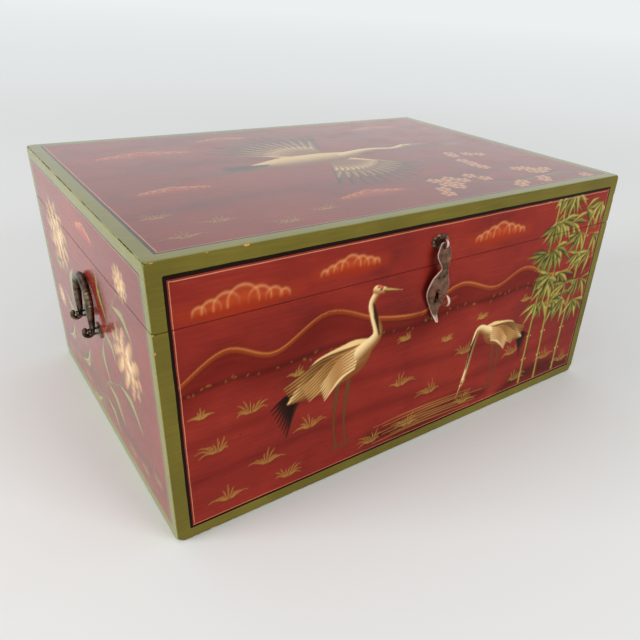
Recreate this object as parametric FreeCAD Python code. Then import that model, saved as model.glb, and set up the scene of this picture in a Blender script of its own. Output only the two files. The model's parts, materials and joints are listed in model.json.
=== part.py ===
import FreeCAD
import Part
import math
import os

# Painted wooden trunk with a hinged lid, a hasp on the front and a bail handle on each end.
# Millimetres, +Z up. The origin is the middle of the base, on the floor, and the front faces -Y.

V = FreeCAD.Vector
X_AXIS = V(1, 0, 0)
Y_AXIS = V(0, 1, 0)
Z_AXIS = V(0, 0, 1)

# Case
trunk_width = 500.0
trunk_depth = 352.0
trunk_height = 242.0
lid_height = 51.0
wall = 12.0
top_thickness = 12.0
bottom_thickness = 9.0
rebate_depth = 6.0
seam_gap = 0.3
arris_radius = 1.5

# Clearances shared by all pieces
fit_clearance = 0.05
running_clearance = 0.3
cut_overrun = 1.0

# Sides of the rings that wire and handle bar are drawn through, and steps round each bend
wire_sides = 8
handle_sides = 12
bend_steps = 3

# Butt hinges
hinge_length = 50.0
hinge_from_end = 95.0
leaf_width = 10.0
leaf_thickness = 1.6
knuckle_radius = 2.8
hinge_pin_radius = 1.2
knuckles_per_hinge = 3
screws_per_leaf = 2
screw_spacing = 30.0
screw_head_radius = 2.2
screw_shank_radius = 1.1
screw_length = 9.0
screw_tip = 2.0
screw_tip_radius = 0.3

# Hasp, its eye and rosette on the lid
eye_above_seam = 21.5
eye_wire_radius = 1.2
eye_ring_radius = 3.4
eye_ring_stations = 20
clench_length = 7.0
clench_bend_share = 1.3
eye_leg_overlap_share = 0.92
rosette_width = 21.0
rosette_height = 14.0
rosette_thickness = 1.4
rosette_lobe_radius = 2.3
rosette_lobes = 10
hasp_thickness = 2.0
hasp_length = 75.5
hasp_width = 25.6
hasp_bow = 3.1
hasp_rest_gap = 1.6
hasp_crown_width = 9.2
hasp_tip_width = 3.6

# Staple that stands through the hasp's slot
staple_drop = 50.0
staple_wire_radius = 1.3
staple_span = 8.8
staple_reach = 19.4
slot_side_play = 0.8
slot_end_play = 1.0
slot_shift = 0.4

# Handles
handle_below_seam = 69.5
handle_pivot_standoff = 8.8
handle_span = 40.0
handle_rise = 44.5
handle_thickness = 7.2
handle_wall_gap = 0.3
curl_bar_radius = 2.1
curl_ball_radius = 2.4
curl_turn_degrees = 235.0
handle_staple_radius = 1.0
handle_staple_half_span = 5.0
washer_length = 19.0
washer_height = 12.5
washer_thickness = 1.8

# Hasp outline from the eye down: share of its length, half width as a share of its width
hasp_outline_shares = (
    (0.126, 0.300), (0.205, 0.250), (0.285, 0.156), (0.351, 0.250), (0.430, 0.375),
    (0.563, 0.500), (0.669, 0.461), (0.815, 0.250), (0.907, 0.129),
)
# Hasp bend from the eye down: share of its length, of the eye's height over the rest gap, of the bow
hasp_bend_shares = (
    (0.000, 1.00, 0.00), (0.126, 1.00, 0.10), (0.205, 1.00, 0.68), (0.285, 1.00, 1.00),
    (0.351, 1.00, 0.48), (0.430, 0.86, 0.00), (0.563, 0.46, 0.00), (0.669, 0.23, 0.00),
    (0.815, 0.00, 0.00), (0.907, 0.17, 0.00), (1.000, 1.00, 0.60),
)
# Handle bar up its leg: share of the straight leg, bar radius as a share of the handle thickness
leg_bar_shares = ((0.16, 0.35), (0.34, 0.41), (0.60, 0.46), (1.00, 0.49))
apex_bar_share = 0.50
# End of the curl: share of the turn, bar radius as a share of the ball's radius
ball_bar_shares = ((0.86, 0.85), (0.93, 1.00), (1.00, 0.86), (1.04, 0.30))

half_width = trunk_width / 2
half_depth = trunk_depth / 2
body_top = trunk_height - lid_height
lid_bottom = body_top + seam_gap
rim_top = trunk_height - top_thickness
lap = wall - rebate_depth


def block(low, high):
    return Part.makeBox(high.x - low.x, high.y - low.y, high.z - low.z, low)


def save(name, *solids):
    shape = solids[0] if len(solids) == 1 else Part.makeCompound(list(solids))
    shape.exportStep(os.path.join("parts", name + ".step"))


def rounded_case(z_low, z_high, z_round):
    """Solid block of the case from z_low to z_high, its upright arrises and those at z_round eased."""
    case = block(V(-half_width, -half_depth, z_low), V(half_width, half_depth, z_high))
    eased = [e for e in case.Edges if e.BoundBox.ZLength > 0 or abs(e.BoundBox.ZMin - z_round) < arris_radius]
    return case.makeFillet(arris_radius, eased)


def four_walls(case, z_low, z_high):
    """Front, back, left and right boards of the case. The ends sit in rebates of the front and back."""
    ends = []
    for side in (-1, 1):
        outer = side * half_width
        inner = side * (half_width - wall)
        low = V(min(outer, inner), -half_depth + lap, z_low)
        high = V(max(outer, inner), half_depth - lap, z_high)
        ends.append(block(low, high))
    walls = []
    for side in (-1, 1):
        outer = side * half_depth
        inner = side * (half_depth - wall)
        slab = block(V(-half_width, min(outer, inner), z_low), V(half_width, max(outer, inner), z_high))
        walls.append(case.common(slab.cut(ends[0]).cut(ends[1])))
    walls += [case.common(end) for end in ends]
    return walls


def ring(centre, along, side, radius, sides):
    """Corners of a regular polygon round the centre, square to along, the first one towards side."""
    up = along.cross(side)
    corners = []
    for place in range(sides):
        turn = 2 * math.pi * place / sides
        corners.append(centre + side * (radius * math.cos(turn)) + up * (radius * math.sin(turn)))
    return corners


def flat_face(corners):
    return Part.Face(Part.makePolygon(corners + corners[:1]))


def round_bar(stations, side, sides, closed=False):
    """Flat-sided skin over rings at stations of centre, direction and radius, turned as little as possible."""
    rings = []
    for centre, along, radius in stations:
        side = (side - along * side.dot(along)).normalize()
        rings.append(ring(centre, along, side, radius, sides))
    spans = list(zip(rings, rings[1:]))
    faces = []
    if closed:
        spans.append((rings[-1], rings[0]))
    else:
        faces += [flat_face(rings[0]), flat_face(rings[-1])]
    for first, second in spans:
        for place in range(sides):
            faces.append(flat_face([first[place - 1], first[place], second[place]]))
            faces.append(flat_face([first[place - 1], second[place], second[place - 1]]))
    return Part.Solid(Part.Shell(faces)).removeSplitter()


def straight_wire(start, end, side, radius):
    along = end - start
    return flat_face(ring(start, along.normalize(), side, radius, wire_sides)).extrude(end - start)


def bent_wire(corners, bends, side, radius):
    """Wire along straight runs between the corners, each inner corner turned by an arc of its bend radius."""
    stations = [(corners[0], (corners[1] - corners[0]).normalize(), radius)]
    for before, corner, after, bend in zip(corners, corners[1:], corners[2:], bends):
        back = (before - corner).normalize()
        ahead = (after - corner).normalize()
        half_angle = back.getAngle(ahead) / 2
        enter = corner + back * (bend / math.tan(half_angle))
        centre = corner + (back + ahead).normalize() * (bend / math.sin(half_angle))
        turn_degrees = 180 - math.degrees(2 * half_angle)
        for step in range(bend_steps + 1):
            turn = FreeCAD.Rotation(ahead.cross(back), turn_degrees * step / bend_steps)
            point = centre + turn.multVec(enter - centre)
            if point.distanceToPoint(stations[-1][0]) > fit_clearance:
                stations.append((point, turn.multVec(-back), radius))
    stations.append((corners[-1], (corners[-1] - corners[-2]).normalize(), radius))
    return round_bar(stations, side, wire_sides)


def upright_oval(centre, outward, along, length, height, thickness):
    """Flat plate with round ends: length along the given axis, height across it, thickness outward."""
    across = outward.cross(along)
    end_radius = height / 2
    reach = along * (length / 2 - end_radius)
    top = across * end_radius
    tip = along * (length / 2)
    edges = [
        Part.LineSegment(centre - reach + top, centre + reach + top).toShape(),
        Part.Arc(centre + reach + top, centre + tip, centre + reach - top).toShape(),
        Part.LineSegment(centre + reach - top, centre - reach - top).toShape(),
        Part.Arc(centre - reach - top, centre - tip, centre - reach + top).toShape(),
    ]
    return Part.Face(Part.Wire(edges)).extrude(outward * thickness)


# Case boards
body_walls = four_walls(rounded_case(0, body_top, 0), 0, body_top)
lid_case = rounded_case(lid_bottom, trunk_height, trunk_height)
lid_walls = four_walls(lid_case, lid_bottom, rim_top)
top_slab = block(V(-half_width, -half_depth, rim_top), V(half_width, half_depth, trunk_height))
lid_top = lid_case.common(top_slab)
bottom = block(V(lap - half_width, lap - half_depth, 0), V(half_width - lap, half_depth - lap, bottom_thickness))
body_front, body_back, body_left, body_right = [board.cut(bottom) for board in body_walls]
lid_front, lid_back, lid_left, lid_right = lid_walls

# Butt hinges: leaves let into the two rims, barrel just behind the back on the seam
hinge_y = half_depth + knuckle_radius + running_clearance
hinge_z = body_top + seam_gap / 2
knuckle_pitch = hinge_length / knuckles_per_hinge
screw_y = half_depth - leaf_width / 2


def barrel(start_x, length, radius):
    return Part.makeCylinder(radius, length, V(start_x, hinge_y, hinge_z), X_AXIS)


def screw(head, direction, growth):
    """Countersunk wood screw from its flat head along direction, all radii larger by growth."""
    head_depth = screw_head_radius - screw_shank_radius
    stations = []
    for depth, radius in (
        (0, screw_head_radius),
        (head_depth, screw_shank_radius),
        (screw_length - screw_tip, screw_shank_radius),
        (screw_length, screw_tip_radius),
    ):
        stations.append((head + direction * depth, direction, radius + growth))
    return round_bar(stations, X_AXIS, wire_sides)


def hinge_leaf(centre_x, plate_z, own_knuckles):
    """One leaf: a plate from plate_z up, curled into its own knuckles and cut clear of the others."""
    start_x = centre_x - hinge_length / 2
    low = V(start_x, half_depth - leaf_width, plate_z)
    high = V(start_x + hinge_length, hinge_y, plate_z + leaf_thickness)
    plate = block(low, high)
    leaf = plate
    for place in range(knuckles_per_hinge):
        knuckle_x = start_x + place * knuckle_pitch
        if place in own_knuckles:
            leaf = leaf.fuse(barrel(knuckle_x, knuckle_pitch, knuckle_radius))
    for place in range(knuckles_per_hinge):
        knuckle_x = start_x + place * knuckle_pitch
        if place not in own_knuckles:
            low = V(knuckle_x - running_clearance / 2, half_depth, hinge_z - knuckle_radius)
            notch_end = low.x + knuckle_pitch + running_clearance
            high = V(notch_end, hinge_y + knuckle_radius, hinge_z + knuckle_radius)
            leaf = leaf.cut(block(low, high))
    pin_room = barrel(start_x - cut_overrun, hinge_length + 2 * cut_overrun, hinge_pin_radius + fit_clearance)
    return leaf.cut(pin_room).removeSplitter(), plate


body_screws = []
lid_screws = []
hinge_solids = {}
for side, side_name in ((-1, "left"), (1, "right")):
    hinge_x = side * (half_width - hinge_from_end)
    body_leaf, body_plate = hinge_leaf(hinge_x, body_top - leaf_thickness, (0, knuckles_per_hinge - 1))
    lid_leaf, lid_plate = hinge_leaf(hinge_x, lid_bottom, tuple(range(1, knuckles_per_hinge - 1)))
    body_back = body_back.cut(body_plate)
    lid_back = lid_back.cut(lid_plate)
    for place in range(screws_per_leaf):
        screw_x = hinge_x + (place - (screws_per_leaf - 1) / 2) * screw_spacing
        body_head = V(screw_x, screw_y, body_top)
        lid_head = V(screw_x, screw_y, lid_bottom)
        body_hole = screw(body_head, -Z_AXIS, fit_clearance)
        lid_hole = screw(lid_head, Z_AXIS, fit_clearance)
        body_leaf = body_leaf.cut(body_hole)
        body_back = body_back.cut(body_hole)
        lid_leaf = lid_leaf.cut(lid_hole)
        lid_back = lid_back.cut(lid_hole)
        body_screws.append(screw(body_head, -Z_AXIS, 0))
        lid_screws.append(screw(lid_head, Z_AXIS, 0))
    hinge_solids[side_name + "_hinge_body_leaf"] = body_leaf
    hinge_solids[side_name + "_hinge_lid_leaf"] = lid_leaf
    hinge_solids[side_name + "_hinge_pin"] = barrel(hinge_x - hinge_length / 2, hinge_length, hinge_pin_radius)

# Rosette and cotter eye on the lid: the ring stands upright, its two legs clenched inside
eye_z = lid_bottom + eye_above_seam
eye_outer_radius = eye_ring_radius + eye_wire_radius
eye_standoff = rosette_thickness + running_clearance + eye_outer_radius
eye_centre = V(0, -half_depth - eye_standoff, eye_z)
eye_bend = eye_wire_radius * clench_bend_share
clench_y = -half_depth + wall + eye_bend
eye_leg_z = eye_wire_radius * eye_leg_overlap_share
ring_back_y = eye_centre.y + eye_ring_radius

ring_stations = []
for place in range(eye_ring_stations):
    turn = 2 * math.pi * place / eye_ring_stations
    outward = V(0, math.cos(turn), math.sin(turn))
    ring_stations.append((eye_centre + outward * eye_ring_radius, X_AXIS.cross(outward), eye_wire_radius))
hasp_eye = round_bar(ring_stations, X_AXIS, wire_sides, True)
eye_holes = []
for side in (-1, 1):
    leg_z = eye_z + side * eye_leg_z
    leg = [V(0, ring_back_y, leg_z), V(0, clench_y, leg_z), V(0, clench_y, leg_z + side * clench_length)]
    hasp_eye = hasp_eye.fuse(bent_wire(leg, [eye_bend], X_AXIS, eye_wire_radius))
    eye_holes.append(straight_wire(leg[0], leg[1], X_AXIS, eye_wire_radius + fit_clearance))
hasp_eye = hasp_eye.removeSplitter()

rosette_core = V(0, -half_depth, eye_z)
rosette = upright_oval(
    rosette_core, -Y_AXIS, X_AXIS,
    rosette_width - 2 * rosette_lobe_radius, rosette_height - 2 * rosette_lobe_radius, rosette_thickness,
)
for place in range(rosette_lobes):
    turn = 2 * math.pi * place / rosette_lobes
    across = (rosette_width / 2 - rosette_lobe_radius) * math.cos(turn)
    up = (rosette_height / 2 - rosette_lobe_radius) * math.sin(turn)
    lobe_centre = rosette_core + V(across, 0, up)
    lobe = flat_face(ring(lobe_centre, -Y_AXIS, X_AXIS, rosette_lobe_radius, handle_sides))
    rosette = rosette.fuse(lobe.extrude(-Y_AXIS * rosette_thickness))
rosette = rosette.removeSplitter()
for hole in eye_holes:
    rosette = rosette.cut(hole)
    lid_front = lid_front.cut(hole)

# Hasp: a bent strip trimmed to its leaf outline, hung by a bridge inside the ring
hasp_top = eye_ring_radius - eye_wire_radius - running_clearance
bridge = math.sqrt(hasp_top ** 2 - (hasp_thickness / 2) ** 2)
eye_hole_radius = (eye_outer_radius + running_clearance - bridge) / 2
rest_standoff = hasp_rest_gap + hasp_thickness / 2
strip_points = [V(0, -half_depth - eye_standoff, eye_z + bridge + cut_overrun)]
for down, lift, bow in hasp_bend_shares:
    standoff = rest_standoff + lift * (eye_standoff - rest_standoff) + bow * hasp_bow
    strip_points.append(V(0, -half_depth - standoff, eye_z - down * hasp_length))


def strip_side(shift):
    """Curve through the strip's bend points, moved square to the strip by shift."""
    moved = []
    last = len(strip_points) - 1
    for place, point in enumerate(strip_points):
        run = strip_points[min(place + 1, last)] - strip_points[max(place - 1, 0)]
        moved.append(point + X_AXIS.cross(run).normalize() * shift)
    curve = Part.BSplineCurve()
    curve.interpolate(moved)
    return curve.toShape()


def across_ends(first, second):
    """The two straight edges that close a pair of curves into a strip."""
    starts = [curve.Vertexes[0].Point for curve in (first, second)]
    ends = [curve.Vertexes[-1].Point for curve in (first, second)]
    return [Part.LineSegment(*starts).toShape(), Part.LineSegment(*ends).toShape()]


outer_side = strip_side(hasp_thickness / 2)
inner_side = strip_side(-hasp_thickness / 2)
strip_edges = Part.__sortEdges__([outer_side, inner_side] + across_ends(outer_side, inner_side))
strip = Part.Face(Part.Wire(strip_edges)).extrude(X_AXIS * (hasp_width + 2 * cut_overrun))
strip.translate(-X_AXIS * (hasp_width / 2 + cut_overrun))

outline_sides = []
for side in (-1, 1):
    points = [V(side * hasp_crown_width / 2, -half_depth, eye_z)]
    for down, half in hasp_outline_shares:
        points.append(V(side * half * hasp_width, -half_depth, eye_z - down * hasp_length))
    points.append(V(side * hasp_tip_width / 2, -half_depth, eye_z - hasp_length + hasp_tip_width / 2))
    curve = Part.BSplineCurve()
    curve.interpolate(points)
    outline_sides.append(curve.toShape())
left_side, right_side = outline_sides
crown = Part.Arc(
    left_side.Vertexes[0].Point, V(0, -half_depth, eye_z + bridge), right_side.Vertexes[0].Point
).toShape()
tail = Part.Arc(
    left_side.Vertexes[-1].Point, V(0, -half_depth, eye_z - hasp_length), right_side.Vertexes[-1].Point
).toShape()
outline = Part.Face(Part.Wire(Part.__sortEdges__([left_side, crown, right_side, tail])))
hasp_depth = eye_standoff + hasp_bow + hasp_thickness + cut_overrun
hasp = strip.common(outline.extrude(-Y_AXIS * hasp_depth))

eye_hole_z = eye_z - bridge - eye_hole_radius
hasp = hasp.cut(Part.makeCylinder(eye_hole_radius, hasp_depth, V(0, -half_depth, eye_hole_z), -Y_AXIS))
slot_width = 2 * (staple_wire_radius + slot_side_play)
slot_length = staple_span + 2 * (staple_wire_radius + slot_end_play)
slot_centre = V(0, -half_depth, eye_z - staple_drop - slot_shift)
hasp = hasp.cut(upright_oval(slot_centre, -Y_AXIS, Z_AXIS, slot_length, slot_width, hasp_depth))

# Staple for the hasp: a wire loop upright on the body's front, clenched inside
staple_z = eye_z - staple_drop
staple_bend = staple_wire_radius * clench_bend_share
staple_inside_y = -half_depth + wall + staple_bend
staple_outside_y = -half_depth - staple_reach
staple_corners = []
for side in (-1, 1):
    arm_z = staple_z + side * staple_span / 2
    arm = [
        V(0, staple_inside_y, arm_z + side * clench_length),
        V(0, staple_inside_y, arm_z),
        V(0, staple_outside_y, arm_z),
    ]
    staple_corners += arm if side < 0 else arm[::-1]
    body_front = body_front.cut(straight_wire(arm[1], arm[2], X_AXIS, staple_wire_radius + fit_clearance))
staple_bends = [staple_bend, staple_span / 2, staple_span / 2, staple_bend]
hasp_staple = bent_wire(staple_corners, staple_bends, X_AXIS, staple_wire_radius)

# Bail handles: an arch with curled feet, each foot hooked round a staple's cross bar
handle_pivot_height = body_top - handle_below_seam
curl_radius = handle_staple_radius + running_clearance + curl_bar_radius
arch_radius = handle_span / 2
leg_rise = handle_rise - arch_radius
apex_bar_radius = apex_bar_share * handle_thickness
lean = handle_pivot_standoff - curl_radius - apex_bar_radius - handle_wall_gap
curl_growth = curl_ball_radius - curl_bar_radius + running_clearance
arch_steps = 6
curl_steps = 6


def handle_point(out, along, up):
    """Point of the left handle, given from its pivot: outward from the wall, along the wall and up."""
    return V(-half_width - handle_pivot_standoff - out, along, handle_pivot_height + up)


def half_handle():
    """Bar from the apex down the back leg and round its curl, as pairs of centre and radius."""
    bar = []
    spring_radius = leg_bar_shares[-1][1] * handle_thickness
    for step in range(arch_steps + 1):
        share = step / arch_steps
        turn = share * math.pi / 2
        up = leg_rise + arch_radius * math.cos(turn)
        radius = apex_bar_radius + share * (spring_radius - apex_bar_radius)
        bar.append((handle_point(-curl_radius - lean * up / handle_rise, arch_radius * math.sin(turn), up), radius))
    for up_share, bar_share in leg_bar_shares[-2::-1]:
        up = up_share * leg_rise
        out = -curl_radius - lean * up / handle_rise
        bar.append((handle_point(out, arch_radius, up), bar_share * handle_thickness))
    ball = [(share, bar_share * curl_ball_radius) for share, bar_share in ball_bar_shares]
    plain = [(step / curl_steps * ball[0][0], curl_bar_radius) for step in range(curl_steps)]
    for share, radius in plain + ball:
        turn = math.radians(share * curl_turn_degrees)
        reach = curl_radius + share ** 2 * curl_growth
        bar.append((handle_point(-reach * math.cos(turn), arch_radius, -reach * math.sin(turn)), radius))
    return bar


def bar_solid(bar):
    """Solid through the bar's pairs of centre and radius, each ring square to the line of its neighbours."""
    last = len(bar) - 1
    stations = []
    for place, (centre, radius) in enumerate(bar):
        along = (bar[min(place + 1, last)][0] - bar[max(place - 1, 0)][0]).normalize()
        stations.append((centre, along, radius))
    return round_bar(stations, X_AXIS, handle_sides)


def mirrored(shape):
    return shape.mirror(V(0, 0, 0), X_AXIS)


back_half = half_handle()
front_half = [(V(centre.x, -centre.y, centre.z), radius) for centre, radius in back_half[:0:-1]]
left_bail = bar_solid(front_half + back_half)
pivot = handle_point(0, 0, 0)

# The hidden handle hangs: its bail is turned until its weight lies straight under the pivot
weight = left_bail.CenterOfMass - pivot
hang_degrees = 180 + math.degrees(math.atan2(weight.x, weight.z))
right_bail = mirrored(left_bail)
right_bail.rotate(V(-pivot.x, pivot.y, pivot.z), Y_AXIS, hang_degrees)

handle_bend = handle_staple_radius * clench_bend_share
left_staples = []
left_washers = []
for foot in (-1, 1):
    foot_y = foot * arch_radius
    inside_x = -half_width + wall + handle_bend
    staple_corners = []
    arm_holes = []
    for side in (-1, 1):
        arm_y = foot_y + side * handle_staple_half_span
        arm = [
            V(inside_x, arm_y + side * clench_length, handle_pivot_height),
            V(inside_x, arm_y, handle_pivot_height),
            V(pivot.x, arm_y, handle_pivot_height),
        ]
        staple_corners += arm if side < 0 else arm[::-1]
        arm_holes.append(straight_wire(arm[1], arm[2], Z_AXIS, handle_staple_radius + fit_clearance))
    left_staples.append(bent_wire(staple_corners, [handle_bend] * 4, Z_AXIS, handle_staple_radius))
    washer_centre = V(-half_width, foot_y, handle_pivot_height)
    washer = upright_oval(washer_centre, -X_AXIS, Y_AXIS, washer_length, washer_height, washer_thickness)
    for hole in arm_holes:
        washer = washer.cut(hole)
        body_left = body_left.cut(hole)
        body_right = body_right.cut(mirrored(hole))
    left_washers.append(washer)

os.makedirs("parts", exist_ok=True)
save("body_front_board", body_front)
save("body_back_board", body_back)
save("body_left_board", body_left)
save("body_right_board", body_right)
save("bottom_board", bottom)
save("lid_top_board", lid_top)
save("lid_front_board", lid_front)
save("lid_back_board", lid_back)
save("lid_left_board", lid_left)
save("lid_right_board", lid_right)
for node, solid in hinge_solids.items():
    save(node, solid)
save("body_hinge_screws", *body_screws)
save("lid_hinge_screws", *lid_screws)
save("hasp_rosette", rosette)
save("hasp_eye", hasp_eye)
save("hasp", hasp)
save("hasp_staple", hasp_staple)
save("left_handle_bail", left_bail)
save("right_handle_bail", right_bail)
save("left_handle_staples", *left_staples)
save("right_handle_staples", *[mirrored(staple) for staple in left_staples])
save("left_handle_washers", *left_washers)
save("right_handle_washers", *[mirrored(washer) for washer in left_washers])
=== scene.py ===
import json
import bmesh
import bpy
import numpy as np
from mathutils import Matrix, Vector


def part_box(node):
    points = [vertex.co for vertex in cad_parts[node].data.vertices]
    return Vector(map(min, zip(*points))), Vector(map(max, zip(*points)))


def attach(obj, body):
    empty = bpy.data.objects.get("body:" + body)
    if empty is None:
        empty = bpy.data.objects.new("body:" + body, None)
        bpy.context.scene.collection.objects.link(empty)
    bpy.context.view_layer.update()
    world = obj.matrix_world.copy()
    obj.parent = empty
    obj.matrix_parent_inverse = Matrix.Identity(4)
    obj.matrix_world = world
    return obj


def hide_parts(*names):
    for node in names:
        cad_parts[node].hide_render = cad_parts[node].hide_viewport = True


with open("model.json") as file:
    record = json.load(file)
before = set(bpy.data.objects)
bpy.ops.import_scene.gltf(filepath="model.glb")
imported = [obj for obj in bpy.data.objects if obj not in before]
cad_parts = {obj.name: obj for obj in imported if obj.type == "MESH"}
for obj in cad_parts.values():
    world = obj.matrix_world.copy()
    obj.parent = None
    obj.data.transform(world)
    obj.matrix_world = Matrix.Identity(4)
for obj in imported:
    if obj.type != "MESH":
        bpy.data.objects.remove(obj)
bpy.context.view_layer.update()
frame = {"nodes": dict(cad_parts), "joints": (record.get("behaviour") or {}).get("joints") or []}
mm = 0.001

# Body front and back boards: 12 mm softwood, rebated at both ends to lap the end boards, glued and
# pinned. Painted red with an olive border and black and gold lining, then varnished to a gloss.
case_low = np.array(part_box("body_front_board")[0])
case_high = np.array(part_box("lid_top_board")[1])
half_width, half_depth, case_height = case_high[0], -case_low[1], case_high[2]
body_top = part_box("body_front_board")[1].z
lid_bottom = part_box("lid_front_board")[0].z
rim_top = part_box("lid_front_board")[1].z
lap_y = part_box("body_left_board")[1].y
inner_x = -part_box("body_left_board")[1].x
inner_y = -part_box("body_front_board")[1].y
bottom_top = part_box("bottom_board")[1].z
arris = 1.5 * mm
seam_ease = 0.35 * mm
joint_ease = 0.1 * mm
uneven_depth = 0.1 * mm
chip_depth = 0.5 * mm
chip_reach = 2 * mm
corner_reach = 5 * mm
crack_reach = 0.9 * mm
# How dark the lid's seam is painted on the front and on the ends: grime and painted shade in the gap.
front_seam_darkening, end_seam_darkening = 0.62, 1.1
end_breadth = 0.55
# Varnish gloss and painted glare by face: the front is dull, and the lining is painted paler on the other
# faces.
front_shine_and_glare, case_shine_and_glare = 0.06, 0.5
corner_cut = 6.5 * mm
seam_notch = 2.6 * mm
picture_step = 1.05 * mm
plain_step = 4 * mm


def linear(colour):
    """sRGB hex colour as linear red, green and blue."""
    coded = np.array([int(colour[k:k + 2], 16) for k in (1, 3, 5)]) / 255
    return np.where(coded <= 0.04045, coded / 12.92, ((coded + 0.055) / 1.055) ** 2.4)


def noise(points, size, seed):
    """Smooth noise from -1 to 1: random values on a lattice of that size, blended between its 8 corners."""
    place = points / size
    cell = np.floor(place)
    share = place - cell
    share = share * share * (3 - 2 * share)
    total = np.zeros(place.shape[:-1])
    for corner in np.ndindex(2, 2, 2):
        weight = np.prod(np.where(corner, share, 1 - share), axis=-1)
        key = (cell + corner) @ np.array([127.1, 311.7, 74.7]) + 19.19 * seed
        total += weight * (2 * np.mod(np.sin(key) * 43758.5453, 1) - 1)
    return total


def bell(distance, reach):
    """Bell curve: 1 at no distance, about a third at the reach and next to nothing at twice the reach."""
    return np.exp(-(distance / reach) ** 2)


def stops(start, end, step):
    """Places from start to end: close together over the eased arris at both ends, even steps between."""
    length = abs(end - start)
    close = arris * np.array([0, 0.25, 0.5, 0.75, 1])
    count = max(2, int(round((length - 2 * arris) / step)) + 1)
    even = np.linspace(arris, length - arris, count)[1:-1]
    return start + np.sign(end - start) * np.concatenate([close, even, length - close[::-1]])


def eased(sharp):
    """Case with eased arrises: its box drawn in by the arris radius, plus that radius on the way out to the
    sharp point. Gives the place and the outward direction."""
    low = case_low + arris
    core = np.clip(sharp, low, case_high - arris)
    way = sharp - core
    length = np.linalg.norm(way, axis=-1, keepdims=True)
    out = way / np.maximum(length, 1e-9)
    return core + out * np.minimum(length, arris), out


def edge_distances(sharp):
    """Distances of a surface point from the nearest end, side and rim plane of the case. The smallest is
    nought, the middle one is that to the nearest arris and the largest leads on to the nearest corner."""
    to_ends = half_width - np.abs(sharp[..., 0])
    to_sides = half_depth - np.abs(sharp[..., 1])
    to_rims = np.minimum(sharp[..., 2], case_height - sharp[..., 2])
    return np.stack([to_ends, to_sides, to_rims], axis=-1)


def weathered(sharp, outer, rims):
    """Outer faces as hand work and use leave them: gently uneven, eased at each rim height by its radius,
    chipped along the arrises, cut off at the corners and notched where the seam meets an upright arris.
    Depths are noise that fades away from the arris. Gives places, margins and wear. Below nought the wear
    is grime: in the crack along the left top arris, and along the lid's seam, where it is painted shade in
    the gap as well as grime, darker on the ends than on the front."""
    place, out = eased(sharp)
    distances = edge_distances(sharp)
    margin, corner = (np.where(outer, np.sort(distances, axis=-1)[..., k], 1) for k in (1, 2))
    rough = noise(sharp, 11 * mm, 3) + 0.6 * noise(sharp, 4 * mm, 5)
    left_top = np.hypot(sharp[..., 0] + half_width, sharp[..., 2] - case_height)
    wear = np.clip(rough - 0.62 + 0.22 * bell(left_top, 3 * mm), 0, 1) * bell(margin, chip_reach)
    wear += np.clip(rough + 0.35, 0, 1) * bell(corner, corner_reach) * bell(margin, 3 * mm)
    crack = bell(left_top, crack_reach) * np.clip(0.85 + noise(sharp * (1, 0.3, 1), 6 * mm, 12), 0, 1)
    wear = np.where(crack > wear + 0.2, -crack, wear)
    depth = uneven_depth * (1 + noise(sharp, 95 * mm, 8)) + chip_depth * np.clip(np.abs(wear), 0, 1.2)
    on_front = np.isclose(sharp[..., 1], -half_depth)
    # Along the lid's seam the wear is set below nought: grime and painted shade in the gap, stronger and
    # broader on the ends than on the front.
    for height, ease in rims:
        rise = np.clip(ease - np.abs(sharp[..., 2] - height), 0, None)
        depth = depth + ease - np.sqrt(ease ** 2 - rise ** 2)
        seam_darkened = (rise > np.where(on_front, 0.8, 0.5) * ease) & (ease > joint_ease)
        wear = np.where(seam_darkened, -np.where(on_front, front_seam_darkening, end_seam_darkening), wear)
    low_share = np.clip(1.5 - sharp[..., 2] / (60 * mm), 0.55, 1)
    spare = corner_cut * low_share * (1 + 0.4 * noise(sharp, 8 * mm, 6)) - distances.sum(-1)
    notch = seam_notch * bell(sharp[..., 2] - body_top, 2 * mm) * (0.8 + 0.5 * noise(sharp, 30 * mm, 4))
    upright = np.clip(notch - distances[..., 0] - distances[..., 1], 0, None) / 2
    cut = np.clip(spare, 0, None)[..., None] / 3 + upright[..., None] * (1, 1, 0)
    inward = out * np.where(outer, depth, 0)[..., None]
    inward += np.sign(sharp - (0, 0, case_height / 2)) * cut * outer[..., None]
    return place - inward, margin, wear + outer * np.clip(upright / mm, 0, 0.8)


def face_work(sharp):
    """How broad the lining is drawn along each side: fine on the ends and the back, broader on the front and
    the lid, most of all along the front's top. Also how the varnish shines, dulled on the front by handling;
    the same share paints the lining paler on the top, ends and back as painted glare, and barely on the
    front."""
    x_share = sharp[..., 0] / (2 * half_width) + 0.5
    to_left, to_right = half_width + sharp[..., 0], half_width - sharp[..., 0]
    to_front, to_back = half_depth + sharp[..., 1], half_depth - sharp[..., 1]
    front_side = np.stack([to_left, to_right, sharp[..., 2], case_height - sharp[..., 2]]).argmin(0)
    lid_side = np.stack([to_left, to_right, to_front, to_back]).argmin(0)
    left_breadth, right_breadth, foot_breadth, top_breadth = 1.0, 0.6, 0.75, 1.35 - 0.3 * x_share
    front_breadth = np.choose(front_side, [left_breadth, right_breadth, foot_breadth, top_breadth])
    lid_breadth = np.choose(lid_side, [0.85, 0.8, 0.6, 0.7])
    on_front = np.isclose(sharp[..., 1], -half_depth)
    on_lid = np.isclose(sharp[..., 2], case_height) & ~on_front
    breadth = np.where(on_lid, lid_breadth, np.where(on_front, front_breadth, end_breadth))
    shine = np.where(on_front, front_shine_and_glare, case_shine_and_glare)
    return [("lining", breadth.ravel()), ("shine", shine.ravel())]


def grid_faces(numbers):
    """Quads between the neighbouring rows and columns of a grid of corner numbers."""
    low, high = numbers[:-1], numbers[1:]
    return np.stack([low[:, :-1], low[:, 1:], high[:, 1:], high[:, :-1]], axis=-1).reshape(-1, 4)


def ring_faces(numbers):
    """Quads of a grid whose columns close up into a ring."""
    return grid_faces(np.append(numbers, numbers[:, :1], axis=1))


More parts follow.
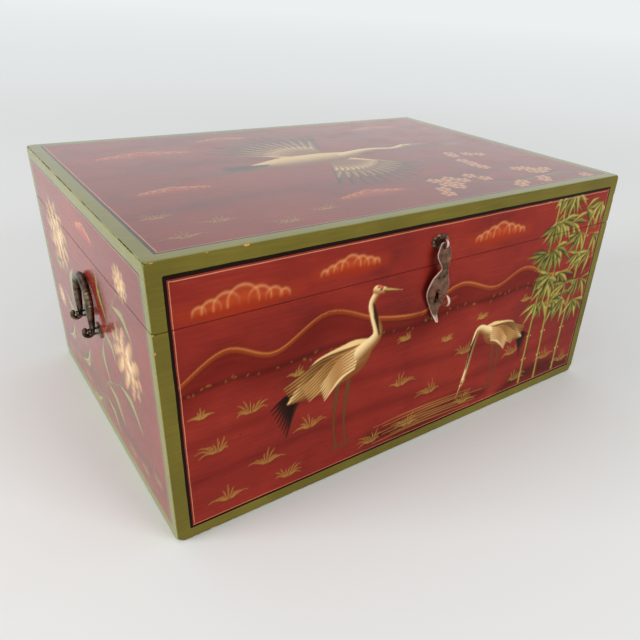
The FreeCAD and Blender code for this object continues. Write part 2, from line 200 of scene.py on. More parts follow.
def new_piece(name, points, faces, materials, attributes=(), face_materials=None, turn_out=False):
    """Mesh object from places and faces: doubles merged, smooth but for sharp edges. Each attribute is a name
    and one number or colour for every place. Faces that were made either way round are turned out."""
    mesh = bpy.data.meshes.new(name)
    mesh.from_pydata(points.reshape(-1, 3).tolist(), [], [list(face) for face in faces])
    for title, values in attributes:
        colour = values.ndim > 1
        layer = mesh.attributes.new(title, "FLOAT_COLOR" if colour else "FLOAT", "POINT")
        layer.data.foreach_set("color" if colour else "value", values.astype(np.float32).ravel())
    for material in materials:
        mesh.materials.append(material)
    if face_materials is not None:
        mesh.polygons.foreach_set("material_index", np.asarray(face_materials, np.int32))
    welded = bmesh.new()
    welded.from_mesh(mesh)
    bmesh.ops.remove_doubles(welded, verts=welded.verts, dist=1e-6)
    if turn_out:
        bmesh.ops.recalc_face_normals(welded, faces=welded.faces)
    welded.to_mesh(mesh)
    welded.free()
    mesh.shade_smooth()
    mesh.set_sharp_from_angle(angle=0.6)
    piece = bpy.data.objects.new(name, mesh)
    bpy.context.scene.collection.objects.link(piece)
    return piece


def fixed(piece, body, node):
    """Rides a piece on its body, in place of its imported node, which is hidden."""
    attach(piece, body)
    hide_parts(node)


# Oil paint under gloss varnish: brushed coats with faint streaks along the board, a hand-drawn border and
# lining, and pale wood where the arrises are knocked. The varnish gives an even, almost mirror-like gloss.
border_width = 11.4
lining_reach = 40.0
lining_stops = ((-lining_reach, "#5f5420"), (0.0, "#150a05"), (2.2, None), (3.3, "#a86d52"), (4.05, None))


def rgba(colour):
    """sRGB hex colour as the linear, opaque value of a colour socket."""
    return (*linear(colour), 1)


def fill(node, inputs):
    """Gives each named input of a shader node a value or another node's output."""
    for key, value in dict(inputs).items():
        if isinstance(value, bpy.types.NodeSocket):
            node.id_data.links.new(value, node.inputs[key])
        else:
            node.inputs[key].default_value = value


def add(tree, kind, inputs=(), output=None, ramp=(), **settings):
    """New shader node with these settings and inputs. Gives the named output, or the first that is in use.
    A ramp is the places and hex colours of a colour ramp, where None is clear."""
    node = tree.nodes.new("ShaderNode" + kind)
    for place, colour in ramp[2:]:
        node.color_ramp.elements.new(place)
    for element, (place, colour) in zip(node.color_ramp.elements if ramp else (), ramp):
        element.position = place
        element.color = (0, 0, 0, 0) if colour is None else rgba(colour)
    for key, value in settings.items():
        setattr(node, key, value)
    fill(node, inputs)
    return node.outputs[output] if output else next(socket for socket in node.outputs if socket.enabled)


def new_material(name):
    """Empty Principled material, its tree and its shader."""
    material = bpy.data.materials.new(name)
    material.use_nodes = True
    return material, material.node_tree, material.node_tree.nodes["Principled BSDF"]


def varnished_paint():
    """Paint of the outer faces: the clouded red ground, the picture on it, then the border and its lining by
    the margin from the arris, the lining paler on all but the front as painted glare, then bare wood, grime
    and specks by the wear, the grime along the seam being painted shade too, all under one varnish."""
    material, tree, shader = new_material("varnished_oil_paint")
    place = add(tree, "TexCoord", output="Object")
    margin, breadth, shine, wear = (
        add(tree, "Attribute", output="Fac", attribute_name=title)
        for title in ("margin", "lining", "shine", "wear")
    )
    picture = add(tree, "Attribute", attribute_name="picture").node.outputs

    upright = add(tree, "Mapping", {"Vector": place, "Scale": (1, 1, 14)})
    lengthwise = add(tree, "Mapping", {"Vector": place, "Scale": (1, 16, 16)})
    cloud = add(tree, "TexNoise", {"Vector": place, "Scale": 1 / (70 * mm), "Detail": 4.0})
    streak = add(tree, "TexNoise", {"Vector": upright, "Scale": 1 / (30 * mm), "Detail": 6.0})
    grain = add(tree, "TexNoise", {"Vector": lengthwise, "Scale": 1 / (24 * mm), "Detail": 5.0})
    strokes = add(tree, "Mix", {"Factor": 0.5, "A": streak, "B": grain})
    tone = add(tree, "Mix", {"Factor": 0.42, "A": cloud, "B": strokes})
    ground_stops = ((0.34, "#631f1a"), (0.47, "#79241c"), (0.56, "#81281e"), (0.68, "#8e3121"))
    ground = add(tree, "ValToRGB", {"Fac": tone}, ramp=ground_stops)
    painted = add(tree, "Mix", {
        "Factor": picture["Alpha"], "A": ground, "B": picture["Color"],
    }, data_type="RGBA")

    waver = add(tree, "TexNoise", {"Vector": place, "Scale": 1 / (26 * mm), "Detail": 3.0})
    drawn = add(tree, "Math", {0: waver, 1: 0.9 * mm, 2: margin}, operation="MULTIPLY_ADD")
    past = add(tree, "Math", {0: drawn, 1: border_width * mm}, operation="SUBTRACT")
    spread = add(tree, "Math", {0: past, 1: breadth}, operation="DIVIDE")
    reach = add(tree, "MapRange", {
        "Value": spread, "From Min": -lining_reach * mm, "From Max": lining_reach * mm,
    })
    lining = add(tree, "ValToRGB", {"Fac": reach}, ramp=tuple(
        (0.5 + 0.5 * start / lining_reach, colour) for start, colour in lining_stops
    )).node
    lining.color_ramp.interpolation = "CONSTANT"
    shade = add(tree, "MapRange", {
        "Value": tone, "From Min": 0.3, "From Max": 0.7, "To Min": 0.72, "To Max": 1.35,
    })
    # Painted glare: the lining is painted paler on the top, ends and back, and barely on the front, as glare
    # on the varnish would show it.
    painted_glare = add(tree, "Mix", {
        "Factor": shine, "A": (1, 1, 1, 1), "B": (2.1, 2.9, 3.2, 1),
    }, data_type="RGBA")
    lining_tone_and_glare = add(tree, "Mix", {
        "Factor": 1.0, "A": painted_glare, "B": shade,
    }, data_type="RGBA", blend_type="MULTIPLY")
    lining_colour = add(tree, "Mix", {
        "Factor": 1.0, "A": lining.outputs["Color"], "B": lining_tone_and_glare,
    }, data_type="RGBA", blend_type="MULTIPLY")
    lined = add(tree, "Mix", {
        "Factor": lining.outputs["Alpha"], "A": painted, "B": lining_colour,
    }, data_type="RGBA")

    crumb = add(tree, "TexNoise", {"Vector": place, "Scale": 1 / (3.2 * mm), "Detail": 4.0})
    worn = add(tree, "Math", {0: crumb, 1: wear}, operation="MULTIPLY")
    chip = add(tree, "MapRange", {"Value": worn, "From Min": 0.20, "From Max": 0.27})
    wood = add(tree, "ValToRGB", {"Fac": grain}, ramp=((0.35, "#8a4a20"), (0.6, "#cf9657")))
    chipped = add(tree, "Mix", {"Factor": chip, "A": lined, "B": wood}, data_type="RGBA")
    # Grime where the wear is below nought: in the crack, and along the seam, where it is painted shade in the
    # gap too.
    dirt_and_seam_shade = add(tree, "MapRange", {"Value": worn, "From Min": -0.24, "From Max": -0.34})
    cells = add(tree, "TexVoronoi", {"Vector": place, "Scale": 1 / (34 * mm)}).node.outputs
    speck = add(tree, "MapRange", {
        "Value": cells["Distance"], "From Min": 0.030, "From Max": 0.018, "To Max": 0.7,
    })
    specks = add(tree, "Math", {0: cells["Color"], 1: 0.62}, operation="GREATER_THAN")
    spotted = add(tree, "Math", {0: speck, 1: specks, 2: dirt_and_seam_shade}, operation="MULTIPLY_ADD")
    colour = add(tree, "Mix", {"Factor": spotted, "A": chipped, "B": rgba("#2b1c10")}, data_type="RGBA")

    gloss = add(tree, "MapRange", {
        "Value": strokes, "From Min": 0.35, "From Max": 0.65, "To Min": 0.10, "To Max": 0.24,
    })
    roughness = add(tree, "Math", {0: chip, 1: 0.5, 2: gloss}, operation="MULTIPLY_ADD")
    bare = add(tree, "Math", {0: chip, 1: spotted}, operation="MAXIMUM")
    sound = add(tree, "Math", {0: 1.0, 1: bare}, operation="SUBTRACT", use_clamp=True)
    polish = add(tree, "Math", {0: shine, 1: sound}, operation="MULTIPLY")
    bump = add(tree, "Bump", {"Height": grain, "Strength": 0.16, "Distance": 0.4 * mm})
    fill(shader, {"Base Color": colour, "Roughness": roughness, "Normal": bump})
    fill(shader, {"IOR": 1.52, "Specular IOR Level": polish})
    return material


def stained_softwood():
    """Inside of the case: softwood stained dark reddish brown, unvarnished, with grain along the boards."""
    material, tree, shader = new_material("stained_softwood")
    place = add(tree, "TexCoord", output="Object")
    along = add(tree, "Mapping", {"Vector": place, "Scale": (1, 9, 9)})
    grain = add(tree, "TexNoise", {
        "Vector": along, "Scale": 1 / (40 * mm), "Detail": 7.0, "Distortion": 0.8,
    })
    stain_stops = ((0.3, "#2b120b"), (0.5, "#4a2214"), (0.72, "#6a3a22"))
    colour = add(tree, "ValToRGB", {"Fac": grain}, ramp=stain_stops)
    bump = add(tree, "Bump", {"Height": grain, "Strength": 0.3, "Distance": 0.5 * mm})
    fill(shader, {"Base Color": colour, "Roughness": 0.62, "Normal": bump})
    return material


paint = varnished_paint()
bare_wood = stained_softwood()


def wall_board(name, outside, inside, low, high, normal, step, changes=(), picture=None):
    """Upright board: a closed section, painted outside and plain inside, carried from low to high. Each
    change gives two heights, of which one is an end of the board, and the section between them."""
    rows = stops(low, high, step)
    for start, end, _, _ in changes:
        rows = np.sort(np.append(rows, [end if start == low else start] * 2))
    painted = len(outside)
    sharp = np.empty((len(rows), painted + len(inside), 3))
    sharp[..., :2] = np.concatenate([outside, inside])
    sharp[..., 2] = rows[:, None]
    outer = np.zeros(sharp.shape[:2], bool)
    outer[:, :painted] = True
    for start, end, other_outside, other_inside in changes:
        first = 0 if start == low else np.searchsorted(rows, start) + 1
        last = np.searchsorted(rows, end) + 1 if start == low else len(rows)
        sharp[first:last, :, :2] = np.concatenate([other_outside, other_inside])
        outer[first:last, :painted] = np.isclose(other_outside, outside).all(1)
    seams = [(rim, joint_ease if rim == rim_top else seam_ease) for rim in (low, high) if rim > 0]
    place, margin, wear = weathered(sharp, outer, seams)
    art = np.zeros(sharp.shape[:2] + (4,))
    if picture is not None:
        reach = abs(normal[0]) * half_width + abs(normal[1]) * half_depth
        facing = outer & np.isclose(sharp[..., :2] @ normal, reach)
        across = sharp[..., :2] @ np.array([-normal[1], normal[0]])
        art[facing] = picture(across[facing] / mm, (sharp[..., 2][facing] - case_height / 2) / mm)
    columns = sharp.shape[1]
    faces = ring_faces(np.arange(len(rows) * columns).reshape(-1, columns))
    bare_faces = ~outer.ravel()[faces].all(1)
    caps = [np.arange(columns)[::-1], np.arange(columns) + (len(rows) - 1) * columns]
    attributes = [("margin", margin.ravel()), ("wear", wear.ravel()), ("picture", art.reshape(-1, 4))]
    return new_piece(
        name, place, [*faces, *caps], [paint, bare_wood], attributes + face_work(sharp),
        np.append(bare_faces, [True, True]),
    )


# Front picture: cranes at a pool beside bamboo, with hills and banks of cloud behind. Each motif is a set of
# brush strokes in millimetres from the middle of the face, in tans, golds and browns on the red.
def toward(angle):
    """Unit way at an angle, or a row of them for a row of angles."""
    return np.stack([np.cos(angle), np.sin(angle)], axis=-1)


def canvas(across, up):
    """Blank picture for places on a face: no colour yet and nothing covered."""
    spot = np.stack([across, up], axis=-1)
    return {"spot": spot, "rgb": np.zeros((len(spot), 3)), "cover": np.zeros(len(spot))}


def finished(art):
    """Colour and cover of each place, as one row."""
    return np.concatenate([art["rgb"], art["cover"][:, None]], axis=1)


def smooth_line(points, count):
    """Samples of a smooth curve through the points: between two of them a cubic, whose slope at each is half
    the way from the point before to the point after."""
    points = np.asarray(points, float)
    padded = np.concatenate([[2 * points[0] - points[1]], points, [2 * points[-1] - points[-2]]])
    along = np.linspace(0, len(points) - 1, count)
    span = np.minimum(along.astype(int), len(points) - 2)
    share = (along - span)[:, None]
    before, start, end, after = (padded[span + k] for k in range(4))
    bend = (2 * before - 5 * start + 4 * end - after) * share ** 2
    twist = (3 * start - before - 3 * end + after) * share ** 3
    return start + 0.5 * ((end - before) * share + bend + twist)


def brush(art, points, widths, colour, under=None, soft=1.1, strength=1.0):
    """One brush stroke: places nearer to the smooth line than its half width there take the colour. The
    under colour shades the stroke's right-hand side, and soft is how far its edge fades."""
    count = 7 * len(points) - 4
    line = smooth_line(points, count)
    half = np.interp(np.linspace(0, 1, count), np.linspace(0, 1, len(widths)), widths) / 2
    reach = half.max() + soft
    inside = (art["spot"] > line.min(0) - reach) & (art["spot"] < line.max(0) + reach)
    near = np.nonzero(inside.all(1))[0]
    run = np.diff(line, axis=0)
    way = art["spot"][near][:, None] - line[:-1]
    share = np.clip((way * run).sum(-1) / (run ** 2).sum(-1), 0, 1)
    gap = np.linalg.norm(way - share[..., None] * run, axis=-1) - half[:-1] - share * np.diff(half)
    best = gap.argmin(1)
    row = np.arange(len(near))
    gap = gap[row, best]
    cover = np.clip(0.5 - gap / soft, 0, 1) * strength
    tone = np.broadcast_to(linear(colour), (len(near), 3))
    if under is not None:
        way, run = way[row, best], run[best]
        side = (run[:, 0] * way[:, 1] - run[:, 1] * way[:, 0]) / np.linalg.norm(run, axis=1)
        shade = np.clip(0.5 - 0.65 * side / np.maximum(half[best], 0.05), 0, 1)[:, None]
        tone = tone + (linear(under) - tone) * shade * shade * (3 - 2 * shade)
    total = cover + art["cover"][near] * (1 - cover)
    old = art["rgb"][near] * (art["cover"][near] * (1 - cover))[:, None]
    art["rgb"][near] = (old + tone * cover[:, None]) / np.maximum(total, 1e-6)[:, None]
    art["cover"][near] = total


def grass(art, places, size):
    """Tufts of thin ochre blades over a soft dark root. Each tuft's blades fan out and droop more to one
    side."""
    for number, place in enumerate(np.asarray(places, float)):
        lean = 0.35 * np.sin(2.4 * number)
        earth = [place + (-0.4 * size, 0), place + (0.4 * size, 0)]
        brush(art, earth, (1, 2, 1), "#4a0f08", None, 4.0, 0.4)
        for angle in np.radians(np.linspace(24, 156, 9)) - 0.4 * lean:
            way = toward(angle)
            length = size * (0.85 + 0.25 * np.sin(5 * angle + number))
            root = place + (0.24 * size * way[0], 0)
            tip = root + length * way + (0.3 * size * lean, -0.3 * size * abs(way[0]))
            blade = [root, root + 0.6 * length * way, tip]
            brush(art, blade, (0.5, 0.9, 0.2), "#a58a3e", None, 1.0, 0.8)


def clouds(art, place, size, facing):
    """Bank of billowing clouds: a soft glow under round puffs, small ones first, each bright on its upper
    rim."""
    place = np.asarray(place, float)
    arc = toward(np.radians(np.linspace(190, -10, 6)))
    puffs = ((2.2, 0.26), (-2.2, 0.3), (1.6, 0.42), (-1.6, 0.46), (0.85, 0.6), (-0.85, 0.64), (0.0, 0.8))
    base = place + np.array([[-3.2, 0.0], [-1, -0.12], [1, 0.02], [3.0, -0.1]]) * size * (facing, 1)
    glow = (size * 0.4, size, size, size * 0.3)
    brush(art, base + (0, 0.3 * size), glow, "#9a3414", None, size, 0.5)
    for shift, radius in puffs:
        centre = place + np.array([shift * size * facing, radius * size * 0.3])
        inner = 1.3 * radius * size
        puff = [centre, centre + (0.4, 0)]
        brush(art, puff, (inner, inner), "#a8441f", "#8a260f", 0.7 * inner, 0.9)
        brush(art, centre + arc * radius * size, (0.5, 2.6, 0.5), "#dc9a62", "#b3552b", 3.0, 0.7)
    brush(art, base, (0.4, 3.0, 3.0, 0.4), "#8f2c12", None, 5.0, 0.8)


def hills(art, ridge, depth, seed):
    """Line of hills: a lit ochre crest, dark slopes that fade downwards and flecks of scrub at the foot."""
    ridge = np.asarray(ridge, float)
    draw = np.random.default_rng(seed)
    brush(art, ridge - (0, 0.5 * depth), (depth, depth * 1.2, depth), "#560f08", None, depth, 0.6)
    brush(art, ridge - (0, 2.6), (3, 5, 3, 5, 3), "#95421a", "#541809", 4.0, 0.75)
    brush(art, ridge, (0.8, 2.2, 1.0, 2.4, 0.8), "#c9823f", "#7a2c12", 2.0, 0.8)
    foot = smooth_line(ridge * (1, 0.2) + (0, ridge[:, 1].mean() * 0.8 - 0.75 * depth), 60)
    brush(art, foot[::6], (2, 4, 2), "#300a06", None, 6.0, 0.7)
    for spot in foot[draw.integers(1, 59, 26)] + draw.normal(0, 1.6, (26, 2)):
        brush(art, [spot, spot + draw.uniform(-2, 2, 2)], (1.0, 0.4), "#93702d", None, 1.1, 0.7)


def crane(art, foot, size, facing, feeding=False):
    """Standing crane: legs, dark tail plumes, a shaded body, rows of wing feathers, neck, head and bill. Its
    points are shares of its height from the foot, turned to the way that it faces."""
    def spots(*shares):
        """Places on the face for shares of the height."""
        return np.asarray(foot) + size * np.array(shares) * (facing, 1)

    def stroke(shares, widths, colour, under=None):
        """Brush stroke through these shares, its widths shares too, with the shade below either way round."""
        if facing < 0 and under is not None:
            colour, under = under, colour
        brush(art, spots(*shares), np.array(widths) * size, colour, under)

    for leg in (0.0, 0.07):
        shin = [(leg - 0.03, 0.0), (leg - 0.05, 0.2), (leg - 0.03, 0.44)]
        toes = [(leg - 0.07, 0.0), (leg - 0.03, 0.012), (leg + 0.03, 0.0)]
        stroke(shin, (0.012, 0.014, 0.03), "#5b3a1e")
        stroke(toes, (0.006, 0.014, 0.006), "#5b3a1e")
    for drop in np.linspace(0, 1, 8):
        middle = (-0.34 + 0.05 * drop, 0.47 - 0.06 * drop)
        tip = (-0.44 + 0.09 * drop, 0.42 - 0.2 * drop)
        stroke([(-0.2, 0.5), middle, tip], (0.03, 0.035, 0.006), "#3a1c10", "#160a07")
    trunk = [(-0.33, 0.43), (-0.12, 0.53), (0.06, 0.58), (0.15, 0.63)]
    stroke(trunk, (0.02, 0.24, 0.22, 0.09), "#dcb87c", "#74441f")
    feathers = ((0.44, "#a87a40", "#4c2a13"), (0.33, "#c59a5a", "#6b411d"), (0.22, "#e2c48c", "#94622f"))
    for row, (reach, tone, shade) in enumerate(feathers):
        for drop in np.linspace(0, 1, 7):
            start = (0.10 - 0.03 * drop, 0.645 - 0.13 * drop)
            tip = (0.08 - reach * (1 - 0.12 * drop), 0.53 - 0.10 * drop - 0.03 * row)
            middle = ((start[0] + tip[0]) / 2, (start[1] + tip[1]) / 2 + 0.035)
            stroke([start, middle, tip], (0.02, 0.034, 0.008), tone, shade)
    if feeding:
        neck = [(0.13, 0.61), (0.25, 0.66), (0.30, 0.5), (0.33, 0.3), (0.36, 0.17)]
        ahead = np.array([0.35, -0.94])
    else:
        neck = [(0.12, 0.60), (0.22, 0.68), (0.19, 0.80), (0.17, 0.88), (0.21, 0.95)]
        ahead = np.array([0.97, -0.22])
    stroke(neck, (0.10, 0.065, 0.048, 0.042, 0.045), "#e4c690", "#7c4f25")
    stroke([(x + 0.012, y - 0.004) for x, y in neck[1:-1]], (0.01, 0.03, 0.012), "#33180e")
    head = np.array(neck[-1])
    across = np.array([-ahead[1], ahead[0]])
    crown = [head + 0.016 * across - 0.01 * ahead, head + 0.014 * across + 0.025 * ahead]
    sight = head + 0.003 * across
    stroke([head - 0.015 * ahead, head + 0.035 * ahead], (0.05, 0.036), "#e4c690", "#94622f")
    stroke(crown, (0.014, 0.01), "#b5341a")
    stroke([head + 0.045 * ahead, head + 0.17 * ahead], (0.024, 0.003), "#c09a55", "#4b2c17")
    stroke([sight + 0.012 * ahead, sight + 0.02 * ahead], (0.012, 0.012), "#150906")


def bamboo(art, root, height, lean, seed):
    """One bamboo cane: jointed lengths with a pale ring at each joint, and drooping leaves in sprays."""
    draw = np.random.default_rng(seed)
    joints = np.linspace(0, 1, 8)
    line = np.asarray(root) + np.stack([lean * joints ** 1.6, height * joints], axis=1)
    for start, end in zip(line, line[1:]):
        brush(art, [start, (start + end) / 2, end], (4.6, 3.6, 4.6), "#a5873f", "#4a3313")
        brush(art, [end + (-3.0, 0.4), end + (3.0, 0.4)], (1.3, 1.3), "#d8bd78")
    for knot in line[3:]:
        for _ in range(3):
            bend = knot + (draw.uniform(-16, 16), draw.uniform(2, 12))
            brush(art, [knot, (knot + bend) / 2 + (0, 2), bend], (1.2, 1.0, 0.6), "#7c6a2e")
            aim = draw.uniform(-1, 1)
            for angle in np.radians(-90 + 70 * aim + np.linspace(-42, 42, 4) + draw.uniform(-8, 8, 4)):
                reach = draw.uniform(19, 31)
                tip = bend + reach * toward(angle)
                tone, shade = (("#a79a4a", "#4d4a1c"), ("#7f7a34", "#2f2a12"))[draw.integers(2)]
                brush(art, [bend, (bend + tip) / 2 + (0, 1.5), tip], (0.7, 5.4, 0.3), tone, shade)


def front_picture(across, up):
    """Two lines of hills under clouds, a pool with two cranes, bamboo on the right and grass all over."""
    art = canvas(across, up)
    left_ridge = ((-240, 22), (-200, 44), (-160, 30), (-112, 52), (-62, 34), (-15, 26), (30, 32))
    right_ridge = ((-10, 26), (34, 44), (82, 30), (124, 42), (175, 24), (240, 34))
    hills(art, left_ridge, 24, 3)
    hills(art, right_ridge, 20, 5)
    for shift, widths in ((-30, (2, 6, 3)), (-66, (3, 7, 3))):
        line = [(-240, shift), (-80, shift + 7), (60, shift - 3), (240, shift + 5)]
        brush(art, line, widths, "#4a0d0a", None, 12, 0.5)
    clouds(art, (-184, 76), 15, 1)
    clouds(art, (-92, 84), 11, -1)
    clouds(art, (78, 82), 13, 1)
    pool = [(-62, -94), (-10, -97), (50, -93), (92, -97)]
    brush(art, pool, (8, 26, 24, 8), "#3a0b08", None, 12, 0.7)
    bank = [(118, -106), (150, -96), (196, -97), (238, -106)]
    brush(art, bank, (8, 22, 24, 10), "#2e0d08", None, 14, 0.75)
    for line in range(7):
        level = -84 - 3.2 * line
        start = -58 + 11 * (line % 3)
        water = [(start, level), (start + 55, level + 2), (start + 128 - 14 * (line % 2), level - 1)]
        brush(art, water, (0.3, 1.3, 0.3), "#c08d4a", None, 1.2, 0.6)
    bamboo(art, (150, -104), 205, 10, 4)
    bamboo(art, (176, -106), 212, -7, 9)
    bamboo(art, (208, -104), 190, 9, 14)
    grass(art, [
        (-205, -96), (-170, -74), (-212, -44), (-150, -98), (-182, -18), (-128, -54), (-30, -46), (10, -68),
        (-16, -98), (52, -36), (126, -60), (140, -98), (188, -84), (222, -98), (60, -99), (-60, -100),
    ], 15)
    grass(art, [
        (-222, -8), (-140, 2), (-28, 2), (24, -14), (70, -2), (112, -22), (132, 2), (-100, -18),
    ], 9)
    crane(art, (-96, -90), 158, 1)
    crane(art, (98, -92), 118, -1, True)
    return finished(art)


def lapped_outline(step, doubled=()):
    """Painted line of the front board from above: the left end's lap, the face and the right end's lap.
    Places to double are where the line can step in."""
    lap = stops(-lap_y, -half_depth, step)
    face = np.sort(np.concatenate([stops(-half_width, half_width, step)[1:-1], doubled, doubled]))
    left = np.stack([np.full(len(lap), -half_width), lap], axis=1)
    middle = np.stack([face, np.full(len(face), -half_depth)], axis=1)
    right = np.stack([np.full(len(lap), half_width), lap[::-1]], axis=1)
    return np.concatenate([left, middle, right])


lapped_x = np.array([inner_x, inner_x, -inner_x, -inner_x])
lapped_inside = np.stack([lapped_x, [-lap_y, -inner_y, -inner_y, -lap_y]], axis=1)
lapped_foot = np.stack([lapped_x, [-lap_y] * 4], axis=1)
front = np.array([0.0, -1.0])
front_outline = lapped_outline(picture_step)
body_front = wall_board(
    "body_front", front_outline, lapped_inside, 0, body_top, front, picture_step,
    [(0, bottom_top, front_outline, lapped_foot)], front_picture,
)

# The back's upper edge steps in where the hinge leaves are let in.
leaf_thickness = 1.6 * mm
leaf_low, leaf_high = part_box("left_hinge_body_leaf")
leaf_spans = [(leaf_low.x, leaf_high.x), (-leaf_high.x, -leaf_low.x)]
back_outline = lapped_outline(plain_step, np.ravel(leaf_spans))
back_recess = back_outline.copy()
for span_low, span_high in leaf_spans:
    first = np.searchsorted(back_outline[:, 0], span_low, "right") - 1
    last = np.searchsorted(back_outline[:, 0], span_high) + 1
    back_recess[first:last, 1] = -leaf_low.y
body_back = wall_board(
    "body_back", -back_outline, -lapped_inside, 0, body_top, -front, plain_step,
    [(0, bottom_top, -back_outline, -lapped_foot),
     (body_top - leaf_thickness, body_top, -back_recess, -lapped_inside)],
)
fixed(body_front, "body", "body_front_board")
fixed(body_back, "body", "body_back_board")

# Body end boards: the same stock, let into the rebates of the front and back and painted with them. Each
# end has a spray of peonies behind the handle.
bottom_x = -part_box("bottom_board")[0].x


def leaf(art, stem, tip, width):
    """Pointed leaf with a pale midrib: one wide stroke, shaded on its right, and one fine one."""
    stem, tip = np.asarray(stem, float), np.asarray(tip, float)
    way = tip - stem
    bow = np.array([-way[1], way[0]]) * 0.12
    middle = (stem + tip) / 2 + bow
    brush(art, [stem, middle, tip], (0.8, width, 0.4), "#8f8742", "#3b3514")
    brush(art, [stem, middle, tip], (0.5, 0.9, 0.3), "#c8b86a")


def peony(art, centre, size, draw):
    """Peony: four rings of cupped petals from the outside in, each a short wide stroke, over a gold heart."""
    centre = np.asarray(centre, float)
    rings = (
        (1.0, 11, "#b07a44", "#5c2a15"), (0.74, 9, "#c9985c", "#7a4020"),
        (0.5, 7, "#dcb67c", "#93572c"), (0.28, 5, "#ecd3a2", "#ac7440"),
    )
    for reach, count, tone, shade in rings:
        for angle in np.linspace(0, 2 * np.pi, count, endpoint=False) + draw.uniform(0, 1):
            way = toward(angle) * (1, 0.86) * size
            side = np.array([-way[1], way[0]])
            bow = centre + way * reach
            petal = [centre + way * reach * 0.35, bow - way * 0.1]
            arc = [bow - side * 0.24 - way * 0.12, bow, bow + side * 0.24 - way * 0.12]
            brush(art, petal, (size * 0.2, size * 0.5), tone, shade, 3.0)
            brush(art, arc, (0.4, 1.4, 0.4), "#dcc094", None, 3.0, 0.3)
    for way in 0.2 * size * toward(np.arange(8) * np.pi / 4):
        brush(art, [centre, centre + way * 0.55, centre + way], (0.6, 1.0, 1.6), "#c58a2e")


def end_picture(across, up):
    """Spray of peonies on four stems with pointed leaves, under a small cloud bank, with grass below."""
    art = canvas(across, up)
    draw = np.random.default_rng(7)
    ground = [(-170, -84), (-60, -78), (60, -86), (170, -80)]
    brush(art, ground, (10, 22, 10), "#4a0d0b", None, 18, 0.6)
    stems = (
        [(-20, -104), (-40, -50), (-84, -4), (-92, 36)], [(-12, -104), (14, -60), (62, -34), (88, -2)],
        [(-16, -104), (6, -40), (70, 40), (104, 72)], [(-46, -46), (-96, -52), (-128, -36)],
    )
    leaves = (
        ((-62, -24), (-112, -12), 16), ((-74, -10), (-52, 32), 14), ((-40, -50), (-84, -82), 15),
        ((20, -56), (60, -80), 16), ((30, -50), (24, -10), 13), ((66, -32), (118, -52), 15),
        ((38, 6), (64, -12), 12), ((54, 24), (40, 66), 13), ((80, 50), (124, 36), 13),
        ((-100, -50), (-132, -76), 13), ((-20, -96), (-56, -104), 10), ((4, -80), (40, -102), 11),
        ((-90, 24), (-134, 20), 12), ((-88, 14), (-62, 58), 11),
    )
    for stem in stems:
        brush(art, stem, (3.4, 2.8, 2.0, 1.4), "#8a7a3a", "#3a2a10")
    for stem, tip, width in leaves:
        leaf(art, stem, tip, width)
    peony(art, (-96, 52), 36, draw)
    peony(art, (98, 8), 32, draw)
    peony(art, (112, 82), 15, draw)
    peony(art, (-136, -30), 13, draw)
    clouds(art, (20, 88), 9, 1)
    grass(art, [(-140, -100), (-104, -92), (110, -96), (142, -84), (76, -100), (-70, -100)], 13)
    return finished(art)


end_line = stops(lap_y, -lap_y, picture_step)
end_outline = np.stack([np.full(len(end_line), -half_width), end_line], axis=1)
end_inside = np.array([[-inner_x, -lap_y], [-inner_x, lap_y]])
end_foot = np.array([[-bottom_x, -lap_y], [-bottom_x, lap_y]])
left = np.array([-1.0, 0.0])
for turn, side in ((1, "left"), (-1, "right")):
    board = wall_board(
        f"body_{side}", turn * end_outline, turn * end_inside, 0, body_top, turn * left, picture_step,
        [(0, bottom_top, turn * end_outline, turn * end_foot)], end_picture,
    )
    fixed(board, "body", f"body_{side}_board")


# Bottom board: a softwood panel let into the rebate round the foot of the walls, stained and left bare.
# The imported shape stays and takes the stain.
def dress(node, material):
    """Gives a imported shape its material."""
    slots = frame["nodes"][node].data.materials
    slots.clear()
    slots.append(material)


dress("bottom_board", bare_wood)

# Lid rim: four boards like the body's, lapped and glued at the corners. They were sawn from the same carcase,
# so the pictures run on across the seam.
lid_front = wall_board(
    "lid_front", front_outline, lapped_inside, lid_bottom, rim_top, front, picture_step, (), front_picture,
)
lid_back = wall_board(
    "lid_back", -back_outline, -lapped_inside, lid_bottom, rim_top, -front, plain_step,
    [(lid_bottom, lid_bottom + leaf_thickness, -back_recess, -lapped_inside)],
)
fixed(lid_front, "lid", "lid_front_board")
fixed(lid_back, "lid", "lid_back_board")
for turn, side in ((1, "left"), (-1, "right")):
    board = wall_board(
        f"lid_{side}", turn * end_outline, turn * end_inside, lid_bottom, rim_top, turn * left, picture_step,
        (), end_picture,
    )
    fixed(board, "lid", f"lid_{side}_board")

# Lid top: one 12 mm board laid over the rim and glued, flush all round, its joint a fine crack in the border.
# A crane flies over it between cloud banks and branches of blossom.
top_step = 1.5 * mm


